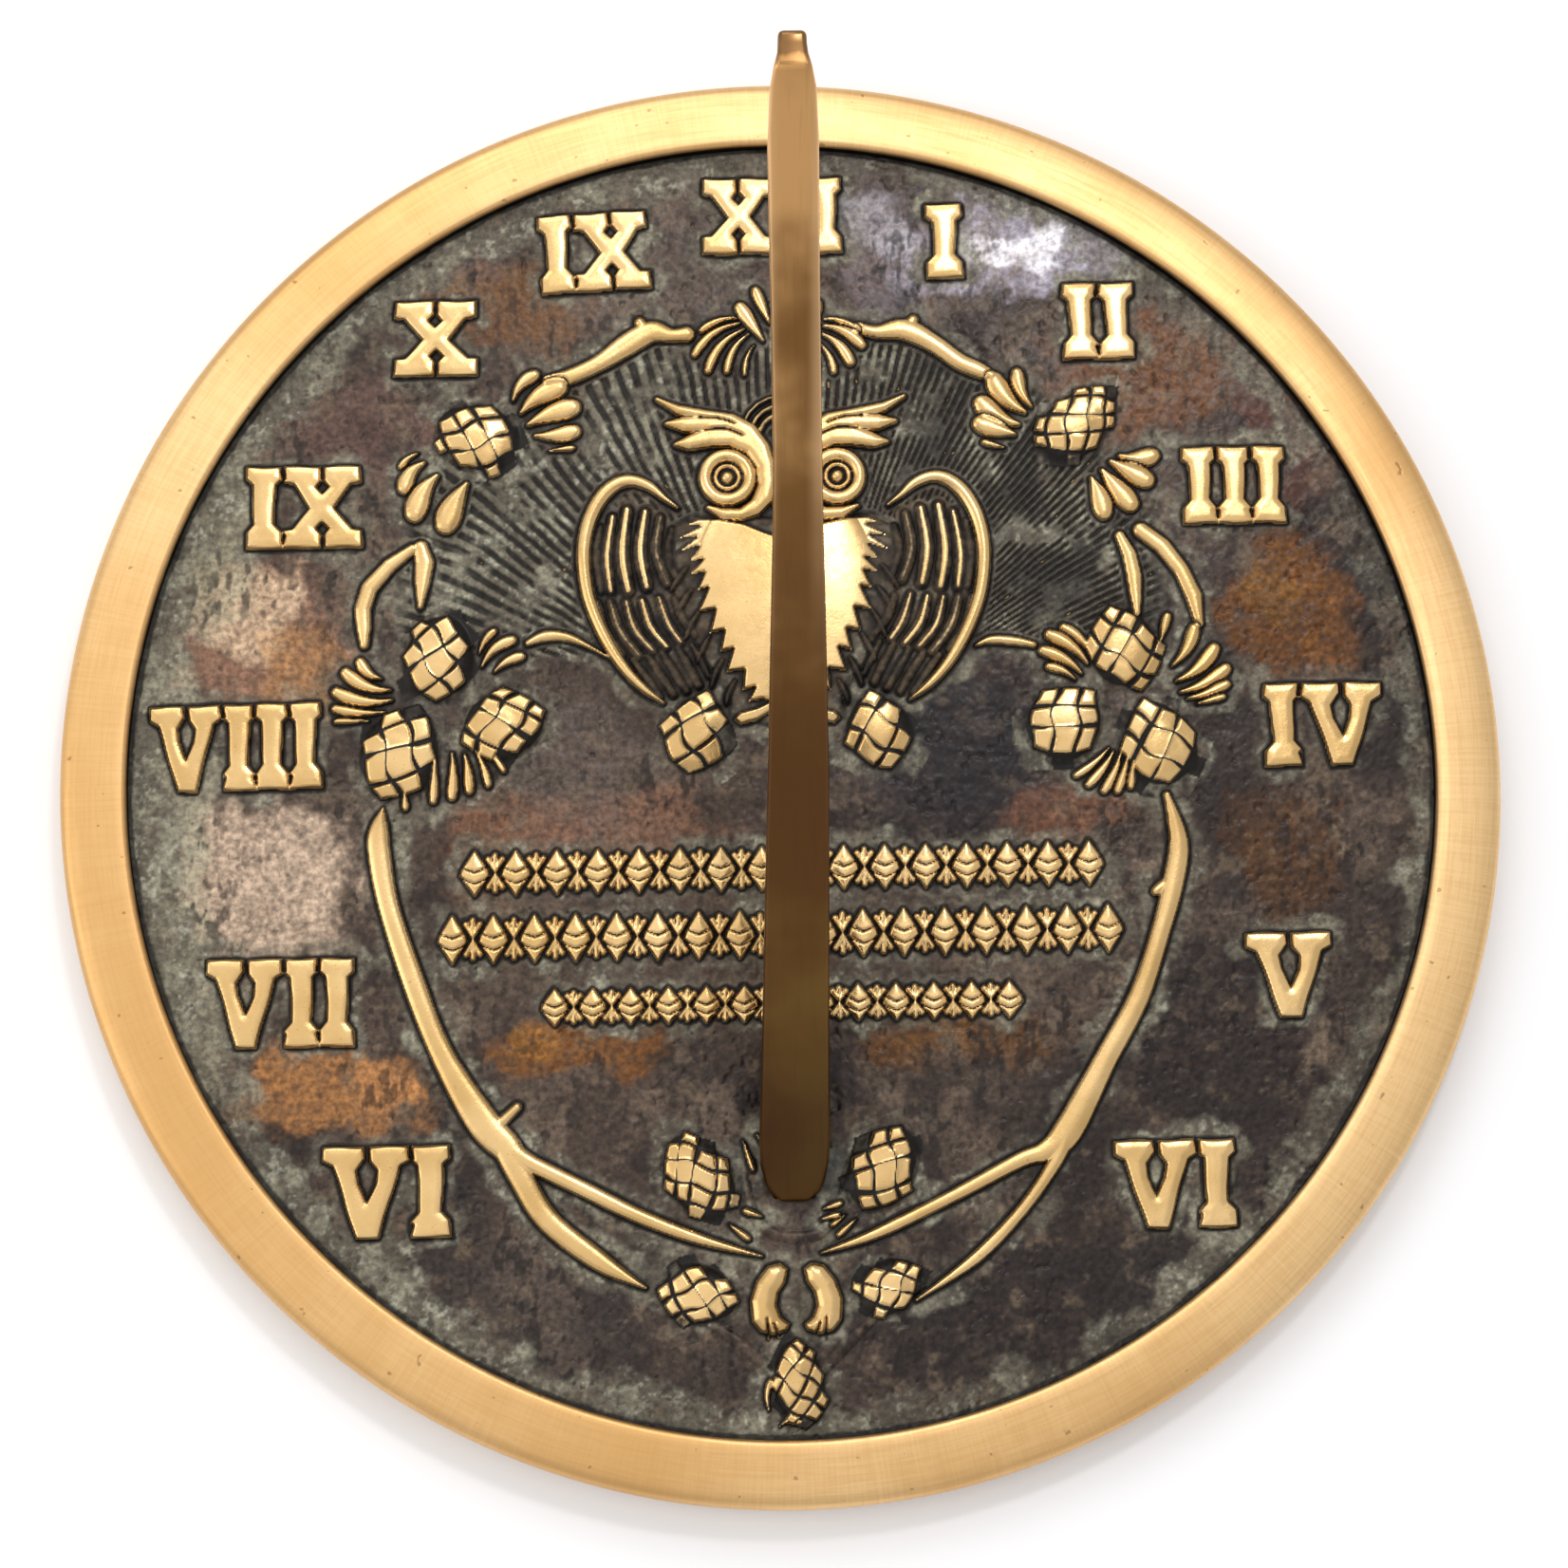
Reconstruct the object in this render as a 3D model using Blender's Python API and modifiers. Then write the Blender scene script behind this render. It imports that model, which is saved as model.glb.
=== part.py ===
"""Garden sundial: a cast brass dial plate with raised owl, wreath and hour numerals,
and a cast gnomon held from below by two screws. Metres, +Z up, hour line of noon along +Y."""

import math

import bmesh
import bpy
from mathutils import Matrix, Vector

MM = 0.001
FIT_GAP = 0.3 * MM

# Dial plate
PLATE_RADIUS = 127.0 * MM
RIM_WIDTH = 12.0 * MM
HOLLOW_DEPTH = 3.8 * MM
FIELD_THICKNESS = 4.0 * MM
RIM_RISE = 3.3 * MM
SEAT_WIDTH = 7.5 * MM
SEAT_INSET = 0.5 * MM
PLATE_STEPS = 80
FIELD_RADIUS = PLATE_RADIUS - RIM_WIDTH
FIELD_TOP = HOLLOW_DEPTH + FIELD_THICKNESS
RIM_TOP = FIELD_TOP + RIM_RISE

# Relief, standing on the field and rooted in it. The layout lists below are drawn for a field of
# 115 mm radius, and one of their millimetres grows or shrinks with the field.
LAYOUT_UNIT = FIELD_RADIUS / 115.0
RELIEF_ROOT = 1.0 * MM
NUMERAL_RISE = 1.5 * MM
BRANCH_RISE = 1.6 * MM
CONE_RISE = 2.2 * MM
NEEDLE_RISE = 1.3 * MM
OWL_RISE = 1.9 * MM
FRIEZE_RISE = 1.3 * MM

# Mounting bosses under the plate
BOSS_COUNT = 3
BOSS_CIRCLE = 78.0 * MM
BOSS_RADIUS = 8.0 * MM
BOSS_HOLE_RADIUS = 2.1 * MM
BOSS_HOLE_DEPTH = 5.5 * MM

# Gnomon
LATITUDE = math.radians(40.0)
FOOT_Y = -74.0 * LAYOUT_UNIT
FOOT_OVERRUN = 0.6 * MM
STYLE_RUN = 161.5 * MM
STYLE_WIDTH_FOOT = 12.7 * MM
STYLE_WIDTH_TIP = 7.2 * MM
STYLE_THICKNESS = 4.0 * MM
STYLE_LIFT = 0.8 * MM
NOSE_LENGTH = 8.0 * MM
NOSE_WIDTH = 5.0 * MM
WEB_WIDTH_FOOT = 9.4 * MM
WEB_WIDTH_TIP = 4.6 * MM
FIN_DEPTH_FOOT = 20.5 * MM
FIN_DEPTH_TIP = 6.5 * MM
PAD_LENGTH = 28.0 * MM
PAD_HEIGHT = 2.8 * MM
FRONT_SCREW_OFFSET = 10.5 * MM
REAR_SCREW_OFFSET = 24.0 * MM
GNOMON_BASE = FIELD_TOP + FIT_GAP

# Gnomon screws and washers
SCREW_RADIUS = 2.0 * MM
SCREW_HEAD_RADIUS = 3.8 * MM
SCREW_HEAD_HEIGHT = 1.8 * MM
FRONT_SCREW_GRIP = 4.6 * MM
REAR_SCREW_GRIP = 7.6 * MM
SLOT_WIDTH = 1.0 * MM
SLOT_DEPTH = 0.8 * MM
FLAT_WASHER_RADIUS = 4.5 * MM
FLAT_WASHER_THICKNESS = 0.8 * MM
LOCK_WASHER_RADIUS = 3.6 * MM
LOCK_WASHER_THICKNESS = 0.9 * MM
LOCK_WASHER_SPLIT = 0.8 * MM
HEAD_CLEARANCE = 0.6 * MM
HARDWARE_STACK = SCREW_HEAD_HEIGHT + LOCK_WASHER_THICKNESS + FLAT_WASHER_THICKNESS + 3 * FIT_GAP
LEAST_SPOT_FACE = 0.4 * MM
SPOT_FACE_RADIUS = FLAT_WASHER_RADIUS + 1.0 * MM
SPOT_FACE_Z = max(HEAD_CLEARANCE + HARDWARE_STACK, HOLLOW_DEPTH + LEAST_SPOT_FACE)
ROUND_STEPS = 24

# Numerals: text, place of the centre
NUMERAL_HEIGHT = 13.2
NUMERALS = [
    ("XII", 0.5, 102.5), ("I", 31.0, 97.5), ("II", 58.5, 82.0), ("III", 81.0, 51.5),
    ("IV", 95.5, 8.0), ("V", 87.0, -36.5), ("VI", 66.5, -72.5), ("VI", -70.0, -71.0),
    ("VII", -88.0, -38.0), ("VIII", -95.5, 6.0), ("IX", -84.5, 50.0), ("X", -60.5, 80.5),
    ("IX", -31.5, 96.0),
]
GLYPH_WIDTH = {"I": 5.5, "V": 12.6, "X": 12.2}

# Branches on the right side of the wreath, as (x, y, width) down the middle; the left ones
# mirror them
BRANCHES = [
    [(13.5, 80.5, 2.2), (22.5, 81.0, 3.4), (30.0, 77.0, 2.8), (37.0, 72.5, 2.4)],
    [(65.5, 43.0, 2.4), (69.5, 38.0, 2.4), (72.5, 31.0, 2.4), (73.0, 25.5, 1.8)],
    [(62.0, 42.5, 1.8), (63.0, 36.5, 2.2), (63.0, 31.0, 1.4)],
    [(34.5, 23.5, 1.0), (39.5, 24.2, 1.9), (44.5, 23.4, 2.0)],
    [
        (69.5, -4.5, 2.4), (70.0, -14.0, 4.0), (68.0, -24.0, 3.6), (64.5, -36.5, 4.0),
        (59.0, -47.5, 4.2), (52.5, -57.5, 5.6), (46.5, -65.0, 4.8), (36.0, -70.8, 2.8),
        (20.0, -78.0, 2.4), (5.0, -83.6, 0.6),
    ],
    [(47.5, -65.0, 3.6), (42.0, -74.0, 3.2), (34.5, -82.5, 3.0), (23.5, -90.2, 0.8)],
]

# Cones: centre, length, width and the angle of the length in degrees
CONES = [
    (-53.5, 62.5, 15.0, 12.0, 158), (53.2, 63.0, 15.4, 10.0, 46),
    (-60.5, 22.5, 14.6, 11.6, 81), (-67.5, 5.5, 15.6, 12.6, 45), (-49.0, 9.8, 13.6, 11.0, 12),
    (60.5, 22.3, 14.2, 12.0, 90), (49.5, 8.5, 13.6, 11.2, 42), (66.0, 6.0, 13.8, 12.0, 105),
    (-15.2, 8.6, 11.6, 10.8, 90), (16.8, 8.6, 11.2, 10.2, 90),
    (-16.0, -69.8, 15.4, 10.0, 122), (15.6, -69.0, 15.0, 10.6, 62),
    (-16.6, -90.2, 12.6, 9.6, 5), (16.4, -89.8, 11.0, 8.8, 20), (0.4, -105.6, 13.4, 7.2, 100),
]
CONE_SIDES = 12

# Needle tufts: root, tip and greatest width
NEEDLES = [
    (-46.5, 69.6, -41.7, 72.8, 2.2), (-44.6, 67.0, -37.8, 70.8, 3.0),
    (-43.3, 64.1, -35.7, 67.5, 2.8), (-42.4, 61.0, -35.6, 63.3, 2.2),
    (-61.2, 56.8, -65.2, 52.6, 2.4), (-58.6, 54.2, -62.8, 48.5, 3.6),
    (-54.8, 52.6, -58.0, 46.8, 3.6),
    (46.2, 69.1, 44.2, 72.6, 2.0), (44.9, 66.3, 40.4, 70.8, 2.8),
    (43.3, 63.2, 38.0, 67.4, 2.8), (41.6, 60.8, 37.2, 63.2, 2.6),
    (62.0, 58.2, 66.6, 56.0, 3.0), (59.4, 55.6, 65.0, 51.6, 3.0),
    (56.4, 53.2, 61.6, 48.0, 3.2), (53.2, 51.6, 57.0, 46.4, 3.0),
    (-67.4, 21.6, -72.4, 25.0, 2.2), (-68.2, 17.6, -75.8, 20.4, 2.6),
    (-68.6, 14.6, -78.0, 16.8, 2.4),
    (-53.0, 23.4, -49.0, 27.4, 1.6), (-52.4, 20.4, -46.6, 24.4, 1.8),
    (-51.6, 17.8, -45.0, 20.4, 1.8),
    (-59.8, -1.6, -61.4, -7.2, 1.6), (-57.0, 3.6, -57.6, -4.4, 1.9),
    (-54.6, 3.2, -53.6, -3.6, 1.7),
    (53.2, 25.0, 49.0, 29.0, 1.8), (52.4, 21.8, 46.4, 26.6, 2.2),
    (51.8, 18.8, 45.0, 21.6, 1.8),
    (67.6, 25.0, 69.4, 29.4, 2.0), (68.4, 21.0, 73.6, 26.0, 2.6),
    (69.0, 17.4, 77.0, 21.8, 2.2), (69.6, 14.6, 78.8, 17.4, 2.0),
    (55.4, 2.4, 51.6, -1.8, 1.6), (57.4, 1.6, 54.8, -5.0, 1.9),
    (59.6, -2.6, 58.4, -7.0, 1.6),
    (-6.9, 82.7, -12.4, 80.8, 1.4), (-6.4, 81.2, -13.4, 75.2, 1.7),
    (-5.6, 79.6, -10.6, 72.4, 1.8), (-2.6, 87.9, -1.4, 81.6, 1.8),
    (8.9, 81.6, 15.6, 77.4, 1.8), (8.6, 79.4, 13.4, 74.0, 2.0), (7.4, 77.0, 10.2, 71.6, 1.6),
]

# Owl, on its own axis and facing out of the plate: right half
OWL_AXIS_X = 1.0
EYE_CENTRE = (9.6, 54.6)
EYE_RADIUS = 4.7
EYE_HOLE_RADIUS = 3.0
PUPIL_RADIUS = 1.6
BROW = [
    (1.6, 50.4), (1.4, 58.0), (4.4, 63.4), (9.6, 65.6), (20.6, 68.6), (13.6, 64.6), (17.6, 63.2),
    (13.2, 62.0), (16.0, 60.6), (9.6, 60.4), (5.2, 58.2), (3.9, 54.4), (5.4, 49.8), (10.6, 48.9),
    (12.6, 49.2), (9.4, 47.2), (4.6, 47.4),
]
WING = [
    (20.4, 50.2, 0.6), (24.5, 52.9, 2.3), (28.3, 53.5, 2.7), (32.0, 51.4, 2.7), (34.4, 46.6, 2.5),
    (34.9, 39.0, 2.4), (33.4, 31.0, 2.3), (29.4, 22.4, 2.3), (24.4, 15.6, 1.8), (20.8, 12.8, 0.6),
]
BREAST = [
    (0.0, 42.0), (5.6, 44.6), (12.6, 45.4), (17.6, 44.2), (18.0, 39.6), (14.8, 37.4), (14.4, 33.4),
    (12.0, 31.0), (11.6, 27.0), (9.6, 24.2), (9.0, 20.2), (6.4, 17.4), (5.2, 13.6), (3.4, 11.0),
    (0.0, 10.0),
]
FEATHERS = [
    (23.6, 47.4, 23.2, 35.6, 1.6), (27.6, 47.8, 27.4, 35.0, 2.2), (31.0, 45.8, 31.0, 36.0, 1.5),
    (20.4, 31.6, 18.2, 25.4, 1.6), (24.4, 31.4, 22.0, 24.0, 1.8), (28.4, 31.6, 25.6, 23.4, 1.6),
    (19.4, 21.6, 16.4, 17.4, 1.4), (22.6, 20.4, 19.4, 16.0, 1.4),
]

# Two bean shapes of relief south of the gnomon's foot: the right one
BEAN_AXIS_X = 0.3
BEAN = [(3.4, -85.6), (6.8, -88.2), (7.6, -92.6), (5.8, -97.0), (1.4, -95.8), (3.0, -91.4), (2.4, -87.6)]

# Frieze rows: middle y, ends, motif height and the number of motifs
FRIEZES = [(-16.0, -58.0, 57.0, 7.6, 16), (-27.6, -62.0, 60.0, 8.2, 17), (-39.8, -44.0, 42.0, 6.2, 13)]


def clear_scene():
    for obj in list(bpy.data.objects):
        bpy.data.objects.remove(obj, do_unlink=True)


def make_collection(name):
    collection = bpy.data.collections.new(name)
    bpy.context.scene.collection.children.link(collection)
    return collection


def make_material(name, color, metallic, roughness):
    material = bpy.data.materials.new(name)
    material.use_nodes = True
    shader = material.node_tree.nodes["Principled BSDF"]
    shader.inputs["Base Color"].default_value = (*color, 1.0)
    shader.inputs["Metallic"].default_value = metallic
    shader.inputs["Roughness"].default_value = roughness
    return material


def object_of(name, mesh, collection):
    obj = bpy.data.objects.new(name, mesh)
    collection.objects.link(obj)
    return obj


def object_from_bmesh(name, bm, collection):
    mesh = bpy.data.meshes.new(name)
    bm.to_mesh(mesh)
    bm.free()
    return object_of(name, mesh, collection)


def hide_helper(obj):
    obj.hide_render = True
    obj.display_type = "WIRE"


def boolean(target, helper, operation):
    modifier = target.modifiers.new(f"{operation.lower()} {helper.name}", "BOOLEAN")
    modifier.operation = operation
    modifier.solver = "EXACT"
    modifier.object = helper
    hide_helper(helper)


def curve_to_mesh(curve_object, collection):
    """The curve's solid as a mesh object in its place, with the caps welded to the sides."""
    bpy.context.view_layer.update()
    graph = bpy.context.evaluated_depsgraph_get()
    mesh = bpy.data.meshes.new_from_object(curve_object.evaluated_get(graph))
    bm = bmesh.new()
    bm.from_mesh(mesh)
    bmesh.ops.remove_doubles(bm, verts=bm.verts, dist=0.001 * MM)
    bmesh.ops.recalc_face_normals(bm, faces=bm.faces)
    bm.to_mesh(mesh)
    bm.free()
    name = curve_object.name
    matrix = curve_object.matrix_world.copy()
    bpy.data.objects.remove(curve_object, do_unlink=True)
    obj = object_of(name, mesh, collection)
    obj.matrix_world = matrix
    return obj


def prisms(name, outlines, thickness, matrix, collection):
    """Flat outlines in metres made solid: thickness along the matrix's local Z, centred on its XY plane."""
    curve = bpy.data.curves.new(name, "CURVE")
    curve.dimensions = "2D"
    curve.fill_mode = "BOTH"
    curve.extrude = thickness / 2
    for outline in outlines:
        spline = curve.splines.new("POLY")
        spline.points.add(len(outline) - 1)
        for point, (x, y) in zip(spline.points, outline):
            point.co = (x, y, 0.0, 1.0)
        spline.use_cyclic_u = True
    obj = object_of(name, curve, collection)
    obj.matrix_world = matrix
    return curve_to_mesh(obj, collection)


def relief(name, outlines, rise, collection):
    """Layout outlines, raised by rise over the field and rooted in it."""
    metres = [[(x * LAYOUT_UNIT, y * LAYOUT_UNIT) for x, y in outline] for outline in outlines]
    middle = FIELD_TOP + (rise - RELIEF_ROOT) / 2
    return prisms(name, metres, rise + RELIEF_ROOT, Matrix.Translation((0, 0, middle)), collection)


def turned(name, profile, steps, collection):
    """A profile of (radius, z) from the top of the axis round the outside to its foot, turned about Z."""
    mesh = bpy.data.meshes.new(name)
    edges = [(i, i + 1) for i in range(len(profile) - 1)]
    mesh.from_pydata([(radius, 0.0, z) for radius, z in profile], edges, [])
    obj = object_of(name, mesh, collection)
    screw = obj.modifiers.new("Turn", "SCREW")
    screw.axis = "Z"
    screw.steps = steps
    screw.render_steps = steps
    screw.use_merge_vertices = True
    screw.merge_threshold = 0.01 * MM
    screw.use_smooth_shade = True
    return obj


def closed_ring(name, profile, steps, collection):
    """As turned, for a closed profile that doesn't touch the axis."""
    obj = turned(name, [*profile, profile[0]], steps, collection)
    weld = obj.modifiers.new("Close", "WELD")
    weld.merge_threshold = 0.01 * MM
    return obj


def cylinder(name, radius, bottom, top, place, collection, steps=ROUND_STEPS):
    bm = bmesh.new()
    bmesh.ops.create_cone(
        bm, cap_ends=True, segments=steps, radius1=radius, radius2=radius, depth=top - bottom
    )
    bmesh.ops.translate(bm, verts=bm.verts, vec=(place[0], place[1], (top + bottom) / 2))
    return object_from_bmesh(name, bm, collection)


def mirrored(outline, axis_x=0.0):
    return [(2 * axis_x - x, y) for x, y in reversed(outline)]


def strip(points):
    """The outline of a stroke through (x, y, width) points."""
    left = []
    right = []
    for i, (x, y, width) in enumerate(points):
        before = Vector(points[max(i - 1, 0)][:2])
        after = Vector(points[min(i + 1, len(points) - 1)][:2])
        along = (after - before).normalized()
        left.append((x - along.y * width / 2, y + along.x * width / 2))
        right.append((x + along.y * width / 2, y - along.x * width / 2))
    return right + left[::-1]


def teardrop(root_x, root_y, tip_x, tip_y, width):
    """A needle or feather: a point at the root that swells towards a blunt tip."""
    root = Vector((root_x, root_y))
    along = Vector((tip_x, tip_y)) - root
    side = Vector((-along.y, along.x)).normalized() * width / 2
    shape = [(0.0, 0.15), (0.62, 1.0), (0.9, 0.8), (1.0, 0.0), (0.9, -0.8), (0.62, -1.0)]
    return [tuple(root + along * share + side * offset) for share, offset in reversed(shape)]


def ellipse(x, y, length, width, degrees, sides):
    turn = Matrix.Rotation(math.radians(degrees), 2)
    points = []
    for i in range(sides):
        angle = 2 * math.pi * i / sides
        point = turn @ Vector((math.cos(angle) * length / 2, math.sin(angle) * width / 2))
        points.append((x + point.x, y + point.y))
    return points


def glyph_i(height):
    half = [(2.5, 0.0), (2.5, 2.0), (1.55, 3.0), (1.55, height - 3.0), (2.5, height - 2.0), (2.5, height)]
    return half + mirrored(half)


def glyph_v(height):
    half = [
        (1.9, 0.0), (4.9, height - 2.9), (6.1, height - 2.1), (6.1, height), (0.4, height),
        (0.4, height - 2.2), (1.6, height - 3.2),
    ]
    return half + [(0.0, 4.6)] + mirrored(half)


def glyph_x(height):
    half = [
        (0.4, 0.0), (5.9, 0.0), (5.9, 2.1), (4.6, 2.9), (2.0, height / 2), (4.6, height - 2.9),
        (5.9, height - 2.1), (5.9, height), (0.4, height), (0.4, height - 1.9), (1.1, height - 3.0),
    ]
    notch = [(-1.1, 3.0), (-0.4, 1.9)]
    left = mirrored(half)
    return half + [(0.0, height - 4.3)] + left + [notch[1], notch[0], (0.0, 4.3), (1.1, 3.0), (0.4, 1.9)]


GLYPHS = {"I": glyph_i, "V": glyph_v, "X": glyph_x}


def numeral_outlines():
    outlines = []
    for text, centre_x, centre_y in NUMERALS:
        pen = centre_x - sum(GLYPH_WIDTH[letter] for letter in text) / 2
        for letter in text:
            middle = pen + GLYPH_WIDTH[letter] / 2
            foot = centre_y - NUMERAL_HEIGHT / 2
            outlines.append([(x + middle, y + foot) for x, y in GLYPHS[letter](NUMERAL_HEIGHT)])
            pen += GLYPH_WIDTH[letter]
    return outlines


def frieze_outlines():
    """Rows of upright lozenges with a small lozenge between each two, clear of the gnomon's pad."""
    outlines = []
    pad_end = (FOOT_Y + PAD_LENGTH) / LAYOUT_UNIT
    pad_side = WEB_WIDTH_FOOT / 2 / LAYOUT_UNIT
    for middle_y, start_x, end_x, height, count in FRIEZES:
        pitch = (end_x - start_x) / count
        beside_pad = middle_y - height / 2 < pad_end + 1.0
        for i in range(2 * count - 1):
            small = i % 2
            x = start_x + (i + 1) / 2 * pitch
            width = pitch * (0.3 if small else 0.52)
            if beside_pad and abs(x) < pad_side + width / 2 + 0.5:
                continue
            outlines.append(ellipse(x, middle_y, height * (0.42 if small else 1.0), width, 90, 4))
    return outlines


def owl_outlines():
    right = [(OWL_AXIS_X + x, y) for x, y in BROW]
    wing = strip([(OWL_AXIS_X + x, y, width) for x, y, width in WING])
    outlines = [right, mirrored(right, OWL_AXIS_X), wing, mirrored(wing, OWL_AXIS_X)]
    for x, y, tip_x, tip_y, width in FEATHERS:
        feather = teardrop(OWL_AXIS_X + x, y, OWL_AXIS_X + tip_x, tip_y, width)
        outlines += [feather, mirrored(feather, OWL_AXIS_X)]
    for side in (1, -1):
        x = OWL_AXIS_X + side * EYE_CENTRE[0]
        for radius in (EYE_RADIUS, EYE_HOLE_RADIUS, PUPIL_RADIUS):
            outlines.append(ellipse(x, EYE_CENTRE[1], 2 * radius, 2 * radius, 0, 10))
    half = [(OWL_AXIS_X + x, y) for x, y in BREAST]
    outlines.append(half + mirrored(half, OWL_AXIS_X)[1:-1])
    return outlines


def build_cones(cutters):
    """Low bosses with a sloped edge, one oval for each cone."""
    bm = bmesh.new()
    for x, y, length, width, degrees in CONES:
        height = CONE_RISE + RELIEF_ROOT
        middle = FIELD_TOP + (CONE_RISE - RELIEF_ROOT) / 2
        place = Matrix.Translation((x * LAYOUT_UNIT, y * LAYOUT_UNIT, middle))
        turn = Matrix.Rotation(math.radians(degrees), 4, "Z")
        size = Matrix.Diagonal((length * LAYOUT_UNIT / 2, width * LAYOUT_UNIT / 2, 1.0, 1.0))
        bmesh.ops.create_cone(
            bm, cap_ends=True, segments=CONE_SIDES, radius1=1.0, radius2=0.72, depth=height,
            matrix=place @ turn @ size,
        )
    return object_from_bmesh("cone_relief", bm, cutters)


def plate_profile():
    """From the middle of the field over the rim and back under the plate."""
    crest = FIELD_RADIUS + 0.13 * RIM_WIDTH
    outside = [
        (crest + 0.16 * RIM_WIDTH, RIM_TOP - 0.01 * RIM_RISE),
        (crest + 0.40 * RIM_WIDTH, RIM_TOP - 0.06 * RIM_RISE),
        (crest + 0.64 * RIM_WIDTH, RIM_TOP - 0.16 * RIM_RISE),
        (PLATE_RADIUS - 0.10 * RIM_WIDTH, RIM_TOP - 0.28 * RIM_RISE),
        (PLATE_RADIUS - 0.02 * RIM_WIDTH, RIM_TOP - 0.75 * RIM_RISE),
        (PLATE_RADIUS, HOLLOW_DEPTH),
        (PLATE_RADIUS - 0.04 * RIM_WIDTH, 0.45 * HOLLOW_DEPTH),
        (FIELD_RADIUS + SEAT_INSET + SEAT_WIDTH, 0.0),
    ]
    return [
        (0.0, FIELD_TOP),
        (FIELD_RADIUS, FIELD_TOP),
        (FIELD_RADIUS + 0.03 * RIM_WIDTH, RIM_TOP - 0.2 * RIM_RISE),
        (crest, RIM_TOP),
        *outside,
        (FIELD_RADIUS + SEAT_INSET, 0.0),
        (FIELD_RADIUS, HOLLOW_DEPTH),
        (0.0, HOLLOW_DEPTH),
    ]


def screw_places():
    return {"front": FOOT_Y + FRONT_SCREW_OFFSET, "rear": FOOT_Y + REAR_SCREW_OFFSET}


def build_dial_plate(parts, cutters, material):
    plate = turned("dial_plate", plate_profile(), PLATE_STEPS, parts)
    plate.data.materials.append(material)
    branches = [strip(points) for points in BRANCHES[:4] + BRANCHES[5:]]
    stems = [strip(BRANCHES[4])]
    beans = [[(BEAN_AXIS_X + x, y) for x, y in BEAN]]
    reliefs = [
        relief("numeral_relief", numeral_outlines(), NUMERAL_RISE, cutters),
        relief("frieze_relief", frieze_outlines(), FRIEZE_RISE, cutters),
        relief("branch_relief", branches + [mirrored(b) for b in branches], BRANCH_RISE, cutters),
        relief("stem_relief", stems + [mirrored(s) for s in stems], BRANCH_RISE + FIT_GAP, cutters),
        relief("needle_relief", [teardrop(*needle) for needle in NEEDLES], NEEDLE_RISE, cutters),
        relief("owl_relief", owl_outlines(), OWL_RISE, cutters),
        relief("bean_relief", beans + [mirrored(beans[0], BEAN_AXIS_X)], OWL_RISE, cutters),
        build_cones(cutters),
    ]
    for shape in reliefs:
        boolean(plate, shape, "UNION")
    for i in range(BOSS_COUNT):
        angle = math.pi / 2 + 2 * math.pi * i / BOSS_COUNT
        place = (BOSS_CIRCLE * math.cos(angle), BOSS_CIRCLE * math.sin(angle))
        root = HOLLOW_DEPTH + RELIEF_ROOT
        boolean(plate, cylinder(f"boss_{i}", BOSS_RADIUS, 0.0, root, place, cutters), "UNION")
        hole = cylinder(f"boss_hole_{i}", BOSS_HOLE_RADIUS, -1 * MM, BOSS_HOLE_DEPTH, place, cutters, 16)
        boolean(plate, hole, "DIFFERENCE")
    hole_radius = SCREW_RADIUS + FIT_GAP
    for end, y in screw_places().items():
        face = cylinder(f"spot_face_{end}", SPOT_FACE_RADIUS, 0.0, SPOT_FACE_Z, (0.0, y), cutters)
        boolean(plate, face, "DIFFERENCE")
        hole = cylinder(f"plate_hole_{end}", hole_radius, 0.0, FIELD_TOP + 5 * MM, (0.0, y), cutters, 16)
        boolean(plate, hole, "DIFFERENCE")
    return plate


def style_point(run, depth=0.0):
    """(y, z) of the point at this run north of the foot, this deep under the style's face."""
    y = FOOT_Y + run + depth * math.sin(LATITUDE)
    z = GNOMON_BASE + STYLE_LIFT + run * math.tan(LATITUDE) - depth * math.cos(LATITUDE)
    return (y, z)


def fin_side():
    """The gnomon's outline in the (y, z) plane under its style bar: pad, swept back edge and tip."""
    top = [style_point(share * STYLE_RUN, 1 * MM) for share in (0.0, 0.97)]
    back = []
    for i in range(11):
        share = 0.15 + 0.82 * i / 10
        depth = FIN_DEPTH_TIP + (FIN_DEPTH_FOOT - FIN_DEPTH_TIP) * (1 - share) ** 1.6
        back.append(style_point(share * STYLE_RUN, depth))
    pad_end = FOOT_Y + PAD_LENGTH
    pad = [(pad_end, GNOMON_BASE + PAD_HEIGHT), (pad_end, GNOMON_BASE), (FOOT_Y, GNOMON_BASE)]
    return top + back[::-1] + pad


def bar_side():
    """The style bar's outline in the (y, z) plane, with its sloped nose."""
    nose = STYLE_RUN - 3.5 * MM
    heel = [(FOOT_Y + 7 * MM, GNOMON_BASE), (FOOT_Y - FOOT_OVERRUN, GNOMON_BASE)]
    return [
        style_point(0.0), style_point(nose), style_point(STYLE_RUN, 3 * MM),
        style_point(STYLE_RUN - 2 * MM, 3 * MM + STYLE_THICKNESS),
        style_point(8 * MM, STYLE_THICKNESS), *heel,
    ]


def plan_outline(foot_width, tip_width, nose_width):
    """The gnomon seen from above: a rounded foot, a steady taper and a narrower nose."""
    foot = FOOT_Y - FOOT_OVERRUN
    tip = FOOT_Y + STYLE_RUN + 4 * MM
    nose = FOOT_Y + STYLE_RUN - NOSE_LENGTH
    half = [(nose_width / 2, tip), (tip_width / 2, nose)]
    corner = 0.42 * foot_width
    for i in range(5):
        angle = math.radians(22.5 * i)
        x = foot_width / 2 - corner + corner * math.cos(angle)
        half.append((x, foot + corner - corner * math.sin(angle)))
    return half[::-1] + mirrored(half[::-1])


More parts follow.
